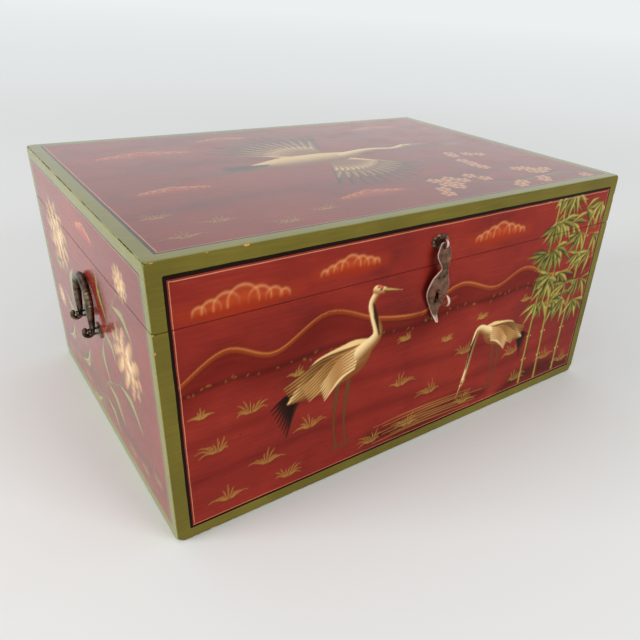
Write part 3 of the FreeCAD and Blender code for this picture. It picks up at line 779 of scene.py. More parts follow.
def flying_crane(art, centre, size):
    """Crane in flight, seen from the side: trailing legs, a long shaded body and neck, and two fans of wing
    feathers, each drawn from the tip of the wing to the shoulder in three lengths."""
    centre = np.asarray(centre, float)

    def stroke(shares, widths, colour, under=None):
        """Brush stroke through shares of the length from the centre, its widths shares too."""
        brush(art, centre + size * np.array(shares), np.array(widths) * size, colour, under)

    for leg in (0.0, 0.016):
        shin = [(-0.2, -0.01 - leg), (-0.36, -0.03 - leg), (-0.52, -0.02 - 2 * leg)]
        stroke(shin, (0.016, 0.01, 0.004), "#5b3a1e")
    feathers = ((1.0, "#5a3216", "#1d0d08"), (0.74, "#a87a40", "#4c2a13"), (0.48, "#dcb87c", "#7c4f25"))
    for root, sweep, lift in (((0.02, 0.03), (62, 150), 0.36), ((0.07, 0.0), (-118, -36), 0.33)):
        for length, tone, shade in feathers:
            for way in toward(np.radians(np.linspace(*sweep, 12))) * lift * length:
                bend = way * 0.5 + root + (0.012, 0.0)
                stroke([root, bend, way + root], (0.02, 0.042, 0.012), tone, shade)
    trunk = [(-0.24, 0.0), (-0.08, 0.01), (0.08, 0.02), (0.2, 0.03)]
    stroke(trunk, (0.03, 0.13, 0.12, 0.05), "#dcb87c", "#74441f")
    for drop in np.linspace(-1, 1, 5):
        stroke([(-0.18, 0.0), (-0.26, 0.012 * drop), (-0.33, 0.03 * drop)], (0.02, 0.026, 0.006), "#3a1c10")
    neck = [(0.16, 0.028), (0.28, 0.06), (0.38, 0.045), (0.46, 0.07)]
    stroke(neck, (0.07, 0.04, 0.03, 0.034), "#e4c690", "#7c4f25")
    stroke([(0.46, 0.072), (0.485, 0.07)], (0.036, 0.026), "#e4c690", "#94622f")
    stroke([(0.46, 0.085), (0.48, 0.083)], (0.012, 0.008), "#b5341a")
    stroke([(0.49, 0.07), (0.58, 0.058)], (0.018, 0.003), "#c09a55", "#4b2c17")


def blossom_branch(art, points, draw):
    """Knotty branch with side twigs, and five-petalled blossoms scattered along it."""
    line = smooth_line(points, 26)
    brush(art, points, (8, 6, 4, 1.2), "#8a5a30", "#2e150c")
    for knot in line[3::3]:
        aim = draw.uniform(0, 2 * np.pi)
        tip = knot + draw.uniform(18, 38) * toward(aim)
        twig = [knot, (knot + tip) / 2 + draw.uniform(-3, 3, 2), tip]
        brush(art, twig, (2.6, 1.8, 0.6), "#7a4e2a", "#2e150c")
        for share in (0.55, 1.0):
            heart = knot + (tip - knot) * share
            for angle in np.arange(5) * 2 * np.pi / 5 + draw.uniform(0, 1):
                petal = heart + 4.6 * toward(angle)
                brush(art, [heart, petal], (2.2, 6.4), "#cf9f74", "#a05a3a", 1.8)
            brush(art, [heart, heart + (0.4, 0)], (2.6, 2.6), "#a8451f", None, 1.2)


def top_picture(across, up):
    """Crane in flight among five cloud banks, over two branches of blossom and tufts of grass."""
    art = canvas(across, up)
    draw = np.random.default_rng(21)
    for level, widths in ((-92, (6, 16, 6)), (20, (4, 14, 5)), (112, (4, 12, 4))):
        shadow = [(-240, level), (-90, level + 16), (80, level - 10), (240, level + 8)]
        brush(art, shadow, widths, "#4a0d0b", None, 20, 0.5)
    clouds(art, (-160, 84), 18, 1)
    clouds(art, (150, 118), 14, -1)
    clouds(art, (-60, 126), 11, 1)
    clouds(art, (-30, -120), 13, -1)
    clouds(art, (-176, -40), 12, 1)
    blossom_branch(art, [(236, -150), (176, -124), (132, -76), (150, -22)], draw)
    blossom_branch(art, [(200, -136), (120, -140), (60, -116), (34, -124)], draw)
    flying_crane(art, (-14, 6), 300)
    grass(art, [
        (-210, -146), (-176, -126), (-128, -150), (-90, -136), (-214, -100), (206, 40), (180, 8), (214, 90),
    ], 15)
    return finished(art)


# The face is a grid, and the edge is its rim repeated at each height down to the joint.
top_x = stops(-half_width, half_width, top_step)
top_y = stops(-half_depth, half_depth, top_step)
edge_z = stops(case_height, rim_top, top_step)[1:]
top_face = np.stack(np.broadcast_arrays(top_x[None, :], top_y[:, None], case_height), axis=-1)
numbers = np.arange(len(top_x) * len(top_y)).reshape(len(top_y), len(top_x))
rim_loop = np.concatenate([numbers[0, :-1], numbers[:-1, -1], numbers[-1, :0:-1], numbers[:0:-1, 0]])
top_edge = np.repeat(top_face.reshape(-1, 3)[rim_loop][None], len(edge_z), axis=0)
top_edge[..., 2] = edge_z[:, None]
top_sharp = np.concatenate([top_face.reshape(-1, 3), top_edge.reshape(-1, 3)])
top_place, top_margin, top_wear = weathered(
    top_sharp, np.ones(len(top_sharp), bool), [(rim_top, joint_ease)],
)
top_art = np.zeros((len(top_sharp), 4))
flat = np.arange(len(top_sharp)) < numbers.size
top_art[flat] = top_picture(top_sharp[flat, 0] / mm, top_sharp[flat, 1] / mm)
top_quads = grid_faces(numbers)
edge_numbers = numbers.size + np.arange(len(edge_z) * len(rim_loop)).reshape(len(edge_z), -1)
edge_rows = np.concatenate([rim_loop[None], edge_numbers])
edge_quads = ring_faces(edge_rows[::-1])
lid_top = new_piece(
    "lid_top", top_place, [*top_quads, *edge_quads, edge_rows[-1][::-1]], [paint, bare_wood],
    [("margin", top_margin), ("wear", top_wear), ("picture", top_art), *face_work(top_sharp)],
    np.append(np.zeros(len(top_quads) + len(edge_quads)), 1),
)
fixed(lid_top, "lid", "lid_top_board")


# Hinges: two drawn brass butt hinges behind, their leaves let into the rims, with countersunk brass screws
# and a pin through the knuckles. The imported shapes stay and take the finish.
def drawn_brass():
    """Brass sheet and wire, drawn and gone dull: fine lines along the hinge, tarnished brown in clouds."""
    material, tree, shader = new_material("drawn_brass")
    place = add(tree, "TexCoord", output="Object")
    along = add(tree, "Mapping", {"Vector": place, "Scale": (1, 30, 30)})
    lines = add(tree, "TexNoise", {"Vector": along, "Scale": 1 / (9 * mm), "Detail": 4.0})
    tarnish = add(tree, "TexNoise", {"Vector": place, "Scale": 1 / (7 * mm), "Detail": 5.0})
    tarnish_stops = ((0.36, "#5e4526"), (0.50, "#9a7a42"), (0.66, "#bd9c5c"))
    tone = add(tree, "ValToRGB", {"Fac": tarnish}, ramp=tarnish_stops)
    dull = add(tree, "MapRange", {
        "Value": lines, "From Min": 0.3, "From Max": 0.7, "To Min": 0.28, "To Max": 0.5,
    })
    bump = add(tree, "Bump", {"Height": lines, "Strength": 0.2, "Distance": 0.1 * mm})
    fill(shader, {"Base Color": tone, "Metallic": 1, "Roughness": dull, "Normal": bump})
    return material


brass = drawn_brass()
dress("body_hinge_screws", brass)
dress("lid_hinge_screws", brass)
for side in ("left", "right"):
    for part in ("body_leaf", "lid_leaf", "pin"):
        dress(f"{side}_hinge_{part}", brass)

# Rosette: a small cast bronze plate with ten beads round its scalloped rim, held to the lid by the eye that
# goes through its middle. The patina is worn through to bright metal on the beads.
joint_place = {joint["name"]: np.array(joint["pos_m"]) for joint in frame["joints"]}
eye_place = joint_place["hasp_swing"]
rosette_low, rosette_high = (np.array(corner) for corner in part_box("hasp_rosette"))
rosette_half = (rosette_high - rosette_low) / 2
rosette_beads = 10
rosette_rim = 0.12
scallop_depth = 0.13
bead_ring, bead_breadth = 0.76, 0.13
boss_share = 0.36


def aged_bronze(name, patina_stops, bright, dullest):
    """Cast bronze with a patina: clouded, darker in small pits, and rubbed bright where rub is well above
    nought. Below nought, rub is soot in the hollows."""
    material, tree, shader = new_material(name)
    place = add(tree, "TexCoord", output="Object")
    rub = add(tree, "Attribute", output="Fac", attribute_name="rub")
    cloud = add(tree, "TexNoise", {"Vector": place, "Scale": 1 / (8 * mm), "Detail": 6.0})
    pits = add(tree, "TexNoise", {"Vector": place, "Scale": 1 / (1.6 * mm), "Detail": 5.0})
    patina = add(tree, "ValToRGB", {"Fac": cloud}, ramp=patina_stops)
    pit_share = add(tree, "MapRange", {
        "Value": pits, "From Min": 0.40, "From Max": 0.28, "To Min": 0.0, "To Max": 0.5,
    })
    pitted = add(tree, "Mix", {"Factor": pit_share, "A": patina, "B": rgba("#2a1e18")}, data_type="RGBA")
    soot_share = add(tree, "MapRange", {"Value": rub, "From Min": 0.0, "From Max": -1.0})
    sooted = add(tree, "Mix", {"Factor": soot_share, "A": pitted, "B": rgba("#1c130f")}, data_type="RGBA")
    broken = add(tree, "Math", {0: pits, 1: 0.5, 2: rub}, operation="MULTIPLY_ADD")
    bright_share = add(tree, "MapRange", {
        "Value": broken, "From Min": 0.5, "From Max": 1.0, "To Max": 0.9,
    })
    colour = add(tree, "Mix", {"Factor": bright_share, "A": sooted, "B": rgba(bright)}, data_type="RGBA")
    dull = add(tree, "MapRange", {
        "Value": cloud, "From Min": 0.3, "From Max": 0.7, "To Min": dullest, "To Max": dullest - 0.1,
    })
    roughness = add(tree, "Math", {0: bright_share, 1: -0.18, 2: dull}, operation="MULTIPLY_ADD")
    bump = add(tree, "Bump", {"Height": pits, "Strength": 0.25, "Distance": 0.15 * mm})
    fill(shader, {"Base Color": colour, "Metallic": 1, "Roughness": roughness, "Normal": bump})
    return material


brown_stops = ((0.34, "#4f3a30"), (0.48, "#6f5343"), (0.62, "#8a6753"))
bronze = aged_bronze("brown_bronze", brown_stops, "#e6cabb", 0.55)


def plate_points(outline, heights, shares, seat, outward, along):
    """Plate on a wall: its outline drawn in by each share in turn, from the rim to the middle, and lifted by
    the height there. The outline runs anticlockwise as seen from outside."""
    across = np.cross(outward, along)
    flat = outline[:, :1] * along + outline[:, 1:] * across
    return seat + shares[:, None, None] * flat + heights[..., None] * outward


def plate_faces(rows, columns):
    """Faces of a plate: quads from the rim to the middle, and the flat back."""
    numbers = np.arange(rows * columns).reshape(rows, columns)
    return [*ring_faces(numbers), numbers[0, ::-1]]


# Heights: a quarter round at the rim, beads that are a bell across the rim times a wave along it, and a boss.
quarter = np.linspace(0, np.pi / 2, 7)
bead_turn = np.linspace(0, 2 * np.pi, 120, endpoint=False)
bead_wave = 0.5 + 0.5 * np.cos(rosette_beads * bead_turn)
scallop = 1 - scallop_depth * (1 - np.abs(np.cos(rosette_beads / 2 * bead_turn)) ** 0.7)
rosette_outline = toward(bead_turn) * rosette_half[[0, 2]] * scallop[:, None]
rosette_shares = np.concatenate([1 - rosette_rim * (1 - np.cos(quarter)), np.linspace(0.85, 0, 22)])
bead_crest = bell(rosette_shares - bead_ring, bead_breadth)[:, None] * bead_wave
rosette_past = np.clip((rosette_shares - 1 + rosette_rim) / rosette_rim, 0, 1)
rosette_roll = np.sqrt(1 - rosette_past ** 2)[:, None]
rosette_boss = np.exp(-(rosette_shares / boss_share) ** 4)[:, None]
rosette_depth = 2 * rosette_half[1]
rosette_heights = rosette_depth * rosette_roll * (0.52 + 0.48 * bead_crest + 0.28 * rosette_boss)
seat = np.array([0, -half_depth, eye_place[2]])
rosette_points = plate_points(
    rosette_outline, rosette_heights, rosette_shares, seat, np.array([0, -1.0, 0]), np.array([1.0, 0, 0]),
)
rosette_hollow = bell(rosette_shares - 0.5, 0.12)[:, None]
rosette_rub = 0.1 + bead_crest * (0.3 + 0.4 * noise(rosette_points, 5 * mm, 17)) - 0.35 * rosette_hollow
rosette = new_piece(
    "rosette", rosette_points, plate_faces(*rosette_heights.shape), [bronze], [("rub", rosette_rub.ravel())],
)
fixed(rosette, "lid", "hasp_rosette")

# Eye: a bronze cotter of one bent wire. Its legs go through the rosette and the lid's front and are clenched
# inside, and its ring stands upright to carry the hasp.
eye_wire = 1.2 * mm
eye_ring = 3.4 * mm
eye_leg_gap = 1.104 * mm
clench = 7 * mm
clench_bend = 1.3


def unit(way):
    """The same way with a length of 1."""
    return way / np.linalg.norm(way)


def bent(corners, bends):
    """Line of a bent wire: straight runs between the corners, each inner corner turned by an arc of its
    radius."""
    corners = np.asarray(corners, float)
    line = [corners[:1]]
    for before, corner, after, bend in zip(corners, corners[1:], corners[2:], bends):
        back, ahead = unit(before - corner), unit(after - corner)
        half = np.arccos(back @ ahead) / 2
        inward = unit(back + ahead)
        sweep = np.linspace(-1, 1, 9)[:, None] * (np.pi / 2 - half)
        arc = np.sin(sweep) * unit(ahead - back) - np.cos(sweep) * inward
        line.append(corner + inward * bend / np.sin(half) + bend * arc)
    return np.concatenate([*line, corners[-1:]])


def bar_points(line, radii, side, sides=20):
    """Round bar: round each point of the line a circle of its radius, square to the line. The circles' start
    is carried along with as little turning as possible."""
    line = np.asarray(line, float)
    way = np.gradient(line, axis=0)
    way /= np.linalg.norm(way, axis=1, keepdims=True)
    starts = []
    for ahead in way:
        side = unit(side - ahead * (side @ ahead))
        starts.append(side)
    starts = np.array(starts)
    turn = np.linspace(0, 2 * np.pi, sides, endpoint=False)[:, None]
    circle = np.cos(turn) * starts[:, None] + np.sin(turn) * np.cross(way, starts)[:, None]
    return line[:, None] + np.broadcast_to(radii, len(line))[:, None, None] * circle


def bar_piece(name, bars, rubs, material):
    """One object of several round bars, each closed by flat ends, with a rub value for each circle."""
    faces, first = [], 0
    for bar in bars:
        numbers = first + np.arange(bar[..., 0].size).reshape(bar.shape[:2])
        faces += [*ring_faces(numbers), numbers[0, ::-1], numbers[-1]]
        first += numbers.size
    points = np.concatenate([bar.reshape(-1, 3) for bar in bars])
    rub = np.concatenate([np.broadcast_to(rub, bar.shape[:2]).ravel() for rub, bar in zip(rubs, bars)])
    return new_piece(name, points, faces, [material], [("rub", rub)])


# The wire runs from one clenched leg round the ring and back along the other.
clench_y = -inner_y + eye_wire * clench_bend
ring_start = np.arcsin(eye_leg_gap / eye_ring)
ring_turn = np.linspace(ring_start, 2 * np.pi - ring_start, 48)
ring_line = eye_place + eye_ring * np.stack([0 * ring_turn, np.cos(ring_turn), np.sin(ring_turn)], axis=1)
leg_z = eye_place[2] + eye_leg_gap
leg = bent(
    [(0, clench_y, leg_z + clench), (0, clench_y, leg_z), (0, ring_line[0][1] + eye_wire, leg_z)],
    [eye_wire * clench_bend],
)
lower_leg = leg[::-1] * (1, 1, -1) + (0, 0, 2 * eye_place[2])
eye_line = np.concatenate([leg, ring_line, lower_leg])
eye_rub = 0.75 * bell(eye_line[:, 1] - eye_place[1] + eye_ring, 3 * mm)[:, None]
eye = bar_piece("eye", [bar_points(eye_line, eye_wire, np.array([1.0, 0, 0]))], [eye_rub], bronze)
fixed(eye, "lid", "hasp_eye")

# Hasp: a leaf of cast bronze that swings on the eye, bowed over the seam and bent in to the staple, with its
# tail turned out for a finger. The edges are rounded by filing and rubbed bright by use.
hasp_thickness = 2.0 * mm
hasp_length = 75.5 * mm
hasp_width = 25.6 * mm
hasp_bow = 3.1 * mm
hasp_rest = 2.6 * mm
hasp_bridge = 1.6155 * mm
hasp_crown = 4.6 * mm
hasp_tip = 1.8 * mm
hasp_edge = 0.75 * mm
eye_hole = 1.642 * mm
slot_half_width = 2.1 * mm
slot_half_length = 6.7 * mm
slot_drop = 50.4 * mm
hasp_step_least = 0.03 * mm
dark_spot_across, dark_spot_down, dark_spot_reach = 3 * mm, 31 * mm, 1.7 * mm
rim_rub_reach = 0.45 * mm
shoulder_down, shoulder_reach = 37 * mm, 5 * mm
tail_rub_down, tail_rub_reach = 68 * mm, 9 * mm
hasp_outline_shares = (
    (0.000, 0.180), (0.126, 0.300), (0.205, 0.250), (0.285, 0.156), (0.351, 0.250), (0.430, 0.375),
    (0.563, 0.500), (0.669, 0.461), (0.815, 0.250), (0.907, 0.129), (0.976, 0.070), (1.000, 0.070),
)
hasp_bend_shares = (
    (-0.03, 1.00, 0.00), (0.000, 1.00, 0.00), (0.126, 1.00, 0.10), (0.205, 1.00, 0.68),
    (0.285, 1.00, 1.00), (0.351, 1.00, 0.48), (0.430, 0.86, 0.00), (0.563, 0.46, 0.00),
    (0.669, 0.23, 0.00), (0.815, 0.00, 0.00), (0.907, 0.17, 0.00), (1.000, 1.00, 0.60),
)


def round_hole(down, centre, half_length, half_width):
    """Half width of a slot with round ends at each distance down from the eye, nought beyond its ends."""
    past = np.clip(np.abs(down - centre) - half_length + half_width, 0, None)
    return np.sqrt(np.clip(half_width ** 2 - past ** 2, 0, None))


def round_stops(centre, half_length, half_width):
    """Places down a slot, close together round both ends."""
    end = half_width * (1 - np.cos(quarter))
    return np.concatenate([centre - half_length + end, centre + half_length - end])


# Rows down the hasp, close together at the crown, at the ends of both holes and at the tail.
eye_hole_down = hasp_bridge + eye_hole
hasp_down = np.sort(np.concatenate([
    -hasp_bridge * np.cos(quarter), round_stops(eye_hole_down, eye_hole, eye_hole),
    round_stops(slot_drop, slot_half_length, slot_half_width),
    hasp_length - hasp_tip * (1 - np.sin(quarter)), np.linspace(0.5 * mm, hasp_length - 2 * mm, 90),
]))
hasp_down = hasp_down[np.append(True, np.diff(hasp_down) > hasp_step_least)]
down = hasp_down[:, None]

# Half width in each row: a smooth curve, with an arc for the crown and a half round for the tail.
outline_line = smooth_line(hasp_outline_shares, 400)
half_outline = np.interp(hasp_down / hasp_length, outline_line[:, 0], outline_line[:, 1]) * hasp_width
crown_radius = (hasp_crown ** 2 + hasp_bridge ** 2) / (2 * hasp_bridge)
crown_half = np.sqrt(np.clip(crown_radius ** 2 - (crown_radius - hasp_bridge - hasp_down) ** 2, 0, None))
tail_past = np.clip(hasp_down - hasp_length + hasp_tip, 0, None)
tail_half = np.sqrt(np.clip(hasp_tip ** 2 - tail_past ** 2, 0, None))
half_outline = np.where(hasp_down < 0, crown_half, half_outline)
half_outline = np.where(tail_past > 0, np.minimum(tail_half, half_outline), half_outline)
half_hole = round_hole(hasp_down, eye_hole_down, eye_hole, eye_hole)
half_hole += round_hole(hasp_down, slot_drop, slot_half_length, slot_half_width)

# Middle line: it stands off the wall by a share of the eye's distance, plus the bow over the seam.
bend_line = smooth_line(hasp_bend_shares, 400)
lift = np.interp(hasp_down / hasp_length, bend_line[:, 0], bend_line[:, 1])
bow = np.interp(hasp_down / hasp_length, bend_line[:, 0], bend_line[:, 2])
standoff = hasp_rest + lift * (-half_depth - eye_place[1] - hasp_rest) + bow * hasp_bow
middle = np.stack([0 * standoff, -half_depth - standoff, eye_place[2] - hasp_down], axis=1)
fall = np.gradient(middle, axis=0)
square = np.cross(fall, np.array([1.0, 0, 0]))
square /= np.linalg.norm(square, axis=1, keepdims=True)
square *= -np.sign(square[:, 1:2])

# Each half is a grid from the hole or the middle out to the rim, thinned at both edges by a quarter round.
across_share = 0.5 - 0.5 * np.cos(np.pi * np.linspace(0, 1, 17))
reach = half_hole[:, None] + (half_outline - half_hole)[:, None] * across_share
slope = np.gradient(half_outline, hasp_down)[:, None]
rim_gap = (half_outline[:, None] - reach) / np.sqrt(1 + np.clip(slope, -3, 3) ** 2)
hole_gap = np.where(half_hole[:, None] > 0, reach - half_hole[:, None], 1)
edge_gap = np.minimum(rim_gap, hole_gap)
edge_past = np.clip(hasp_edge - edge_gap, 0, None)
edge_drop = hasp_edge - np.sqrt(np.clip(hasp_edge ** 2 - edge_past ** 2, 0, None))
half_thick = hasp_thickness / 2 - edge_drop

# Rubbed bright along the rim, on the shoulder and towards the tail, and sooty in two spots below the neck.
dark_spots = bell(np.hypot(reach - dark_spot_across, down - dark_spot_down), dark_spot_reach)
hasp_rub = 0.12 + 0.8 * np.exp(-rim_gap / rim_rub_reach)
hasp_rub = hasp_rub + np.clip((down - tail_rub_down) / tail_rub_reach, 0, 0.35)
hasp_rub = hasp_rub + 0.12 * bell(down - shoulder_down, shoulder_reach) - 1.3 * dark_spots

# Front and back sheets of both halves, closed along the rim and round the holes.
hasp_sheets, hasp_faces = [], []
grid = np.arange(reach.size).reshape(reach.shape)
open_rows = (half_hole[:-1] > 0) | (half_hole[1:] > 0)
for side in (-1, 1):
    front_grid = grid + len(hasp_sheets) * reach.size
    back_grid = front_grid + reach.size
    for face in (1, -1):
        sheet = middle[:, None] + face * half_thick[..., None] * square[:, None]
        sheet[..., 0] = side * reach
        hasp_sheets.append(sheet)
    rim, wall = (grid_faces(np.stack([front_grid[:, k], back_grid[:, k]], axis=1)) for k in (-1, 0))
    hasp_faces += [grid_faces(front_grid), grid_faces(back_grid), rim, wall[open_rows]]
hasp = new_piece(
    "hasp_leaf", np.array(hasp_sheets), np.concatenate(hasp_faces), [bronze],
    [("rub", np.tile(hasp_rub.ravel(), len(hasp_sheets)))], turn_out=True,
)
fixed(hasp, "hasp", "hasp")

# Hasp staple: a loop of bronze wire that stands out through the hasp's slot, its two legs driven through the
# front and clenched inside. A padlock's shackle would go through it.
staple_wire = 1.3 * mm
staple_half_span = 4.4 * mm
staple_rub_start, staple_rub_reach = 9 * mm, 7 * mm
staple_low, staple_high = (np.array(corner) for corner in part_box("hasp_staple"))
staple_z = (staple_low[2] + staple_high[2]) / 2
staple_front = staple_low[1] + staple_wire
staple_inside = -inner_y + staple_wire * clench_bend
low_z, high_z = staple_z - staple_half_span, staple_z + staple_half_span
loop_bend = 0.999 * staple_half_span
staple_line = bent(
    [(0, staple_inside, low_z - clench), (0, staple_inside, low_z), (0, staple_front, low_z),
     (0, staple_front, high_z), (0, staple_inside, high_z), (0, staple_inside, high_z + clench)],
    [staple_wire * clench_bend, loop_bend, loop_bend, staple_wire * clench_bend],
)
staple_out = -half_depth - staple_line[:, 1]
staple_rub = np.clip((staple_out - staple_rub_start) / staple_rub_reach, 0, 1)[:, None]
staple_bar = bar_points(staple_line, staple_wire, np.array([1.0, 0, 0]))
staple = bar_piece("hasp_staple_loop", [staple_bar], [staple_rub], bronze)
fixed(staple, "body", "hasp_staple")

# Bail handles: cast bronze, one on each end. A bar, thickest in its arch, with bands of flat beads above the
# legs; its feet curl outwards round the staples and end in balls. The left one stands up against the wall, as
# it was last put down, and the right one hangs by its own weight.
handle_span = 40.0 * mm
handle_rise = 44.5 * mm
handle_thickness = 7.2 * mm
handle_gap = 0.3 * mm
curl_bar = 1.95 * mm
curl_ball = 2.4 * mm
curl_turn = np.radians(235)
curl_clearance = 0.3 * mm
ball_share = 0.93
curl_end = 1.084
point_bar = 0.02 * mm
bead_height = 0.2 * mm
bead_reach = 0.95 * mm
handle_wire = 1.0 * mm
apex_share = 0.50
leg_bar_shares = ((0.0, 0.27), (0.16, 0.35), (0.34, 0.41), (0.60, 0.46), (1.00, 0.49))
dark_stops = ((0.34, "#322c24"), (0.48, "#5a5042"), (0.62, "#7d725f"))
dark_bronze = aged_bronze("dark_bronze", dark_stops, "#cdb684", 0.34)
left_pivot = joint_place["left_handle_swing"]
curl_radius = handle_wire + curl_clearance + curl_bar
curl_growth = curl_ball - curl_bar + curl_clearance
arch_radius = handle_span / 2
leg_rise = handle_rise - arch_radius
handle_lean = -left_pivot[0] - half_width - curl_radius - apex_share * handle_thickness - handle_gap

# Half of the bail from the top down: a quarter circle, a straight leg that leans to the wall, and a curl that
# widens with the square of its share.
arch_turn = np.linspace(0, np.pi / 2, 30)
leg_up = np.linspace(leg_rise, 0, 40)[1:]
curl_share = np.linspace(0, curl_end, 46)[1:]
half_along = np.append(arch_radius * np.sin(arch_turn), [arch_radius] * (len(leg_up) + len(curl_share)))
half_up = np.append(leg_rise + arch_radius * np.cos(arch_turn), leg_up)
half_out = -curl_radius - handle_lean * half_up / handle_rise
curl_reach = curl_radius + np.minimum(curl_share, 1) ** 2 * curl_growth
half_up = np.append(half_up, -curl_reach * np.sin(curl_share * curl_turn))
half_out = np.append(half_out, -curl_reach * np.cos(curl_share * curl_turn))

# Bar radius along it: shares of the thickness, then the curl's bar and its ball, with a bell for each bead.
leg_table = smooth_line(leg_bar_shares, 80)
arch_bar = handle_thickness * np.interp(arch_turn, (0, np.pi / 2), (apex_share, leg_bar_shares[-1][1]))
leg_bar = handle_thickness * np.interp(leg_up / leg_rise, leg_table[:, 0], leg_table[:, 1])
ball_gap = np.abs(curl_share - ball_share) * curl_turn * (curl_radius + curl_growth)
ball_bars = np.sqrt(np.clip(curl_ball ** 2 - ball_gap ** 2, 0, None))
curl_bars = np.maximum(ball_bars, np.where(curl_share < ball_share, curl_bar, point_bar))
half_bars = np.concatenate([arch_bar, leg_bar, curl_bars])
bead_places = leg_rise + np.array([-2.0, 1.2, 4.4, 7.6, 10.8]) * mm
on_leg = np.arange(len(half_up)) < len(arch_turn) + len(leg_up)
beads = bell(half_up[:, None] - bead_places, bead_reach).sum(1) * on_leg
half_bars = half_bars + bead_height * (beads - on_leg)
half_line = np.stack([-half_out, half_along, half_up], axis=1)
bail_line = np.concatenate([half_line[:0:-1] * (1, -1, 1), half_line])
bail_bars = np.append(half_bars[:0:-1], half_bars)
bail_beads = np.append(beads[:0:-1], beads)[:, None]

# The right one is turned until its centre of weight hangs straight below the pivot.
steps = np.linalg.norm(np.diff(bail_line, axis=0), axis=1) * ((bail_bars[1:] + bail_bars[:-1]) / 2) ** 2
weight = (steps[:, None] * (bail_line[1:] + bail_line[:-1]) / 2).sum(0) / steps.sum()
hang = np.pi + np.arctan2(weight[0], weight[2])
turned = np.stack([
    -bail_line[:, 0] * np.cos(hang) + bail_line[:, 2] * np.sin(hang), -bail_line[:, 1],
    bail_line[:, 0] * np.sin(hang) + bail_line[:, 2] * np.cos(hang),
], axis=1)
for side, line in (("left", bail_line), ("right", turned)):
    bar = bar_points(joint_place[f"{side}_handle_swing"] + line, bail_bars, np.array([1.0, 0, 0]), 28)
    bail_rub = bail_beads * (0.42 + 0.7 * noise(bar, 2.5 * mm, 13)) + 0.4 * noise(bar, 7 * mm, 11) - 0.08
    bail = bar_piece(f"{side}_bail", [bar], [bail_rub], dark_bronze)
    fixed(bail, f"{side}_handle", f"{side}_handle_bail")

# Handle staples and washers: each foot hangs on a wire staple of bronze that goes through an oval washer and
# the end board and is clenched inside.
handle_staple_half_span = 5.0 * mm
washer_half_length = 9.5 * mm
washer_half_height = 6.25 * mm
washer_thickness = 1.8 * mm
washer_rim = 0.14
wire_rub = 0.15

# The washer's outline is two half circles drawn apart, and its height a quarter round and a low crown.
washer_turn = np.linspace(0, 2 * np.pi, 48, endpoint=False)
washer_outline = washer_half_height * toward(washer_turn)
washer_outline[:, 0] += np.sign(np.round(np.cos(washer_turn), 6)) * (washer_half_length - washer_half_height)
washer_quarter = np.linspace(0, np.pi / 2, 6)
washer_shares = np.append(1 - washer_rim * (1 - np.cos(washer_quarter)), np.linspace(0.8, 0, 8))
washer_roll = np.sqrt(1 - np.clip((washer_shares - 1 + washer_rim) / washer_rim, 0, 1) ** 2)
washer_rise = washer_thickness * washer_roll * (0.8 + 0.2 * np.sqrt(1 - washer_shares ** 2))
washer_heights = np.repeat(washer_rise[:, None], len(washer_turn), axis=1)
washer_faces = plate_faces(*washer_heights.shape)
washer_rub = np.repeat(0.3 * bell(washer_shares - 0.9, 0.06), len(washer_turn))
for side_name, side in (("left", -1), ("right", 1)):
    foot_x, _, foot_z = joint_place[f"{side_name}_handle_swing"]
    inside_x = side * (inner_x - handle_wire * clench_bend)
    outward = np.array([side, 0, 0.0])
    wires, plates = [], []
    for foot_y in (-arch_radius, arch_radius):
        low_y, high_y = foot_y - handle_staple_half_span, foot_y + handle_staple_half_span
        wire = bent(
            [(inside_x, low_y - clench, foot_z), (inside_x, low_y, foot_z), (foot_x, low_y, foot_z),
             (foot_x, high_y, foot_z), (inside_x, high_y, foot_z), (inside_x, high_y + clench, foot_z)],
            [handle_wire * clench_bend] * 4,
        )
        wires.append(bar_points(wire, handle_wire, np.array([0, 0, 1.0])))
        seat = np.array([side * half_width, foot_y, foot_z])
        plates.append(plate_points(
            washer_outline, washer_heights, washer_shares, seat, outward, np.array([0, 1.0, 0]),
        ))
    staples = bar_piece(f"{side_name}_staple_wires", wires, [wire_rub] * 2, dark_bronze)
    fixed(staples, "body", f"{side_name}_handle_staples")
    washers = new_piece(
        f"{side_name}_washer_plates", np.array(plates),
        washer_faces + [face + washer_heights.size for face in washer_faces], [dark_bronze],
        [("rub", np.tile(washer_rub, 2))],
    )
    fixed(washers, "body", f"{side_name}_handle_washers")


# Floor: a plain pale ground. With distance it passes over into an even pale tone, as a studio sweep does;
# only the camera and the gloss see that tone, so it throws no light on the object.
def seen(tree):
    """1 for the rays of the camera and of gloss, nought for those that only carry light."""
    path = add(tree, "LightPath").node.outputs
    gloss = add(tree, "Math", {
        0: path["Is Glossy Ray"], 1: path["Is Transmission Ray"],
    }, operation="MAXIMUM")
    return add(tree, "Math", {0: path["Is Camera Ray"], 1: gloss}, operation="MAXIMUM")


floor_radius = 60.0
floor_near = "#ecedeb"
floor_stops = ((0.0, "#d8d9d8"), (0.55, "#e3e6e7"), (1.0, "#edf0f0"))
floor_reach = (0.7, 14.0)
floor_material, floor_tree, floor_shader = new_material("pale_floor")
floor_place = add(floor_tree, "TexCoord", output="Object")
floor_far = add(floor_tree, "VectorMath", {0: floor_place}, output="Value", operation="LENGTH")
floor_log = add(floor_tree, "Math", {0: floor_far, 1: 10.0}, operation="LOGARITHM")
floor_share = add(floor_tree, "MapRange", {
    "Value": floor_log, "From Min": np.log10(floor_reach[0]), "From Max": np.log10(floor_reach[1]),
})
floor_tone = add(floor_tree, "ValToRGB", {"Fac": floor_share}, ramp=floor_stops)
floor_glow = add(floor_tree, "Emission", {"Color": floor_tone, "Strength": 1.0})
floor_fade = add(floor_tree, "MapRange", {
    "Value": floor_share, "From Min": 0.0, "From Max": 0.45, "To Max": seen(floor_tree),
}, interpolation_type="SMOOTHSTEP")
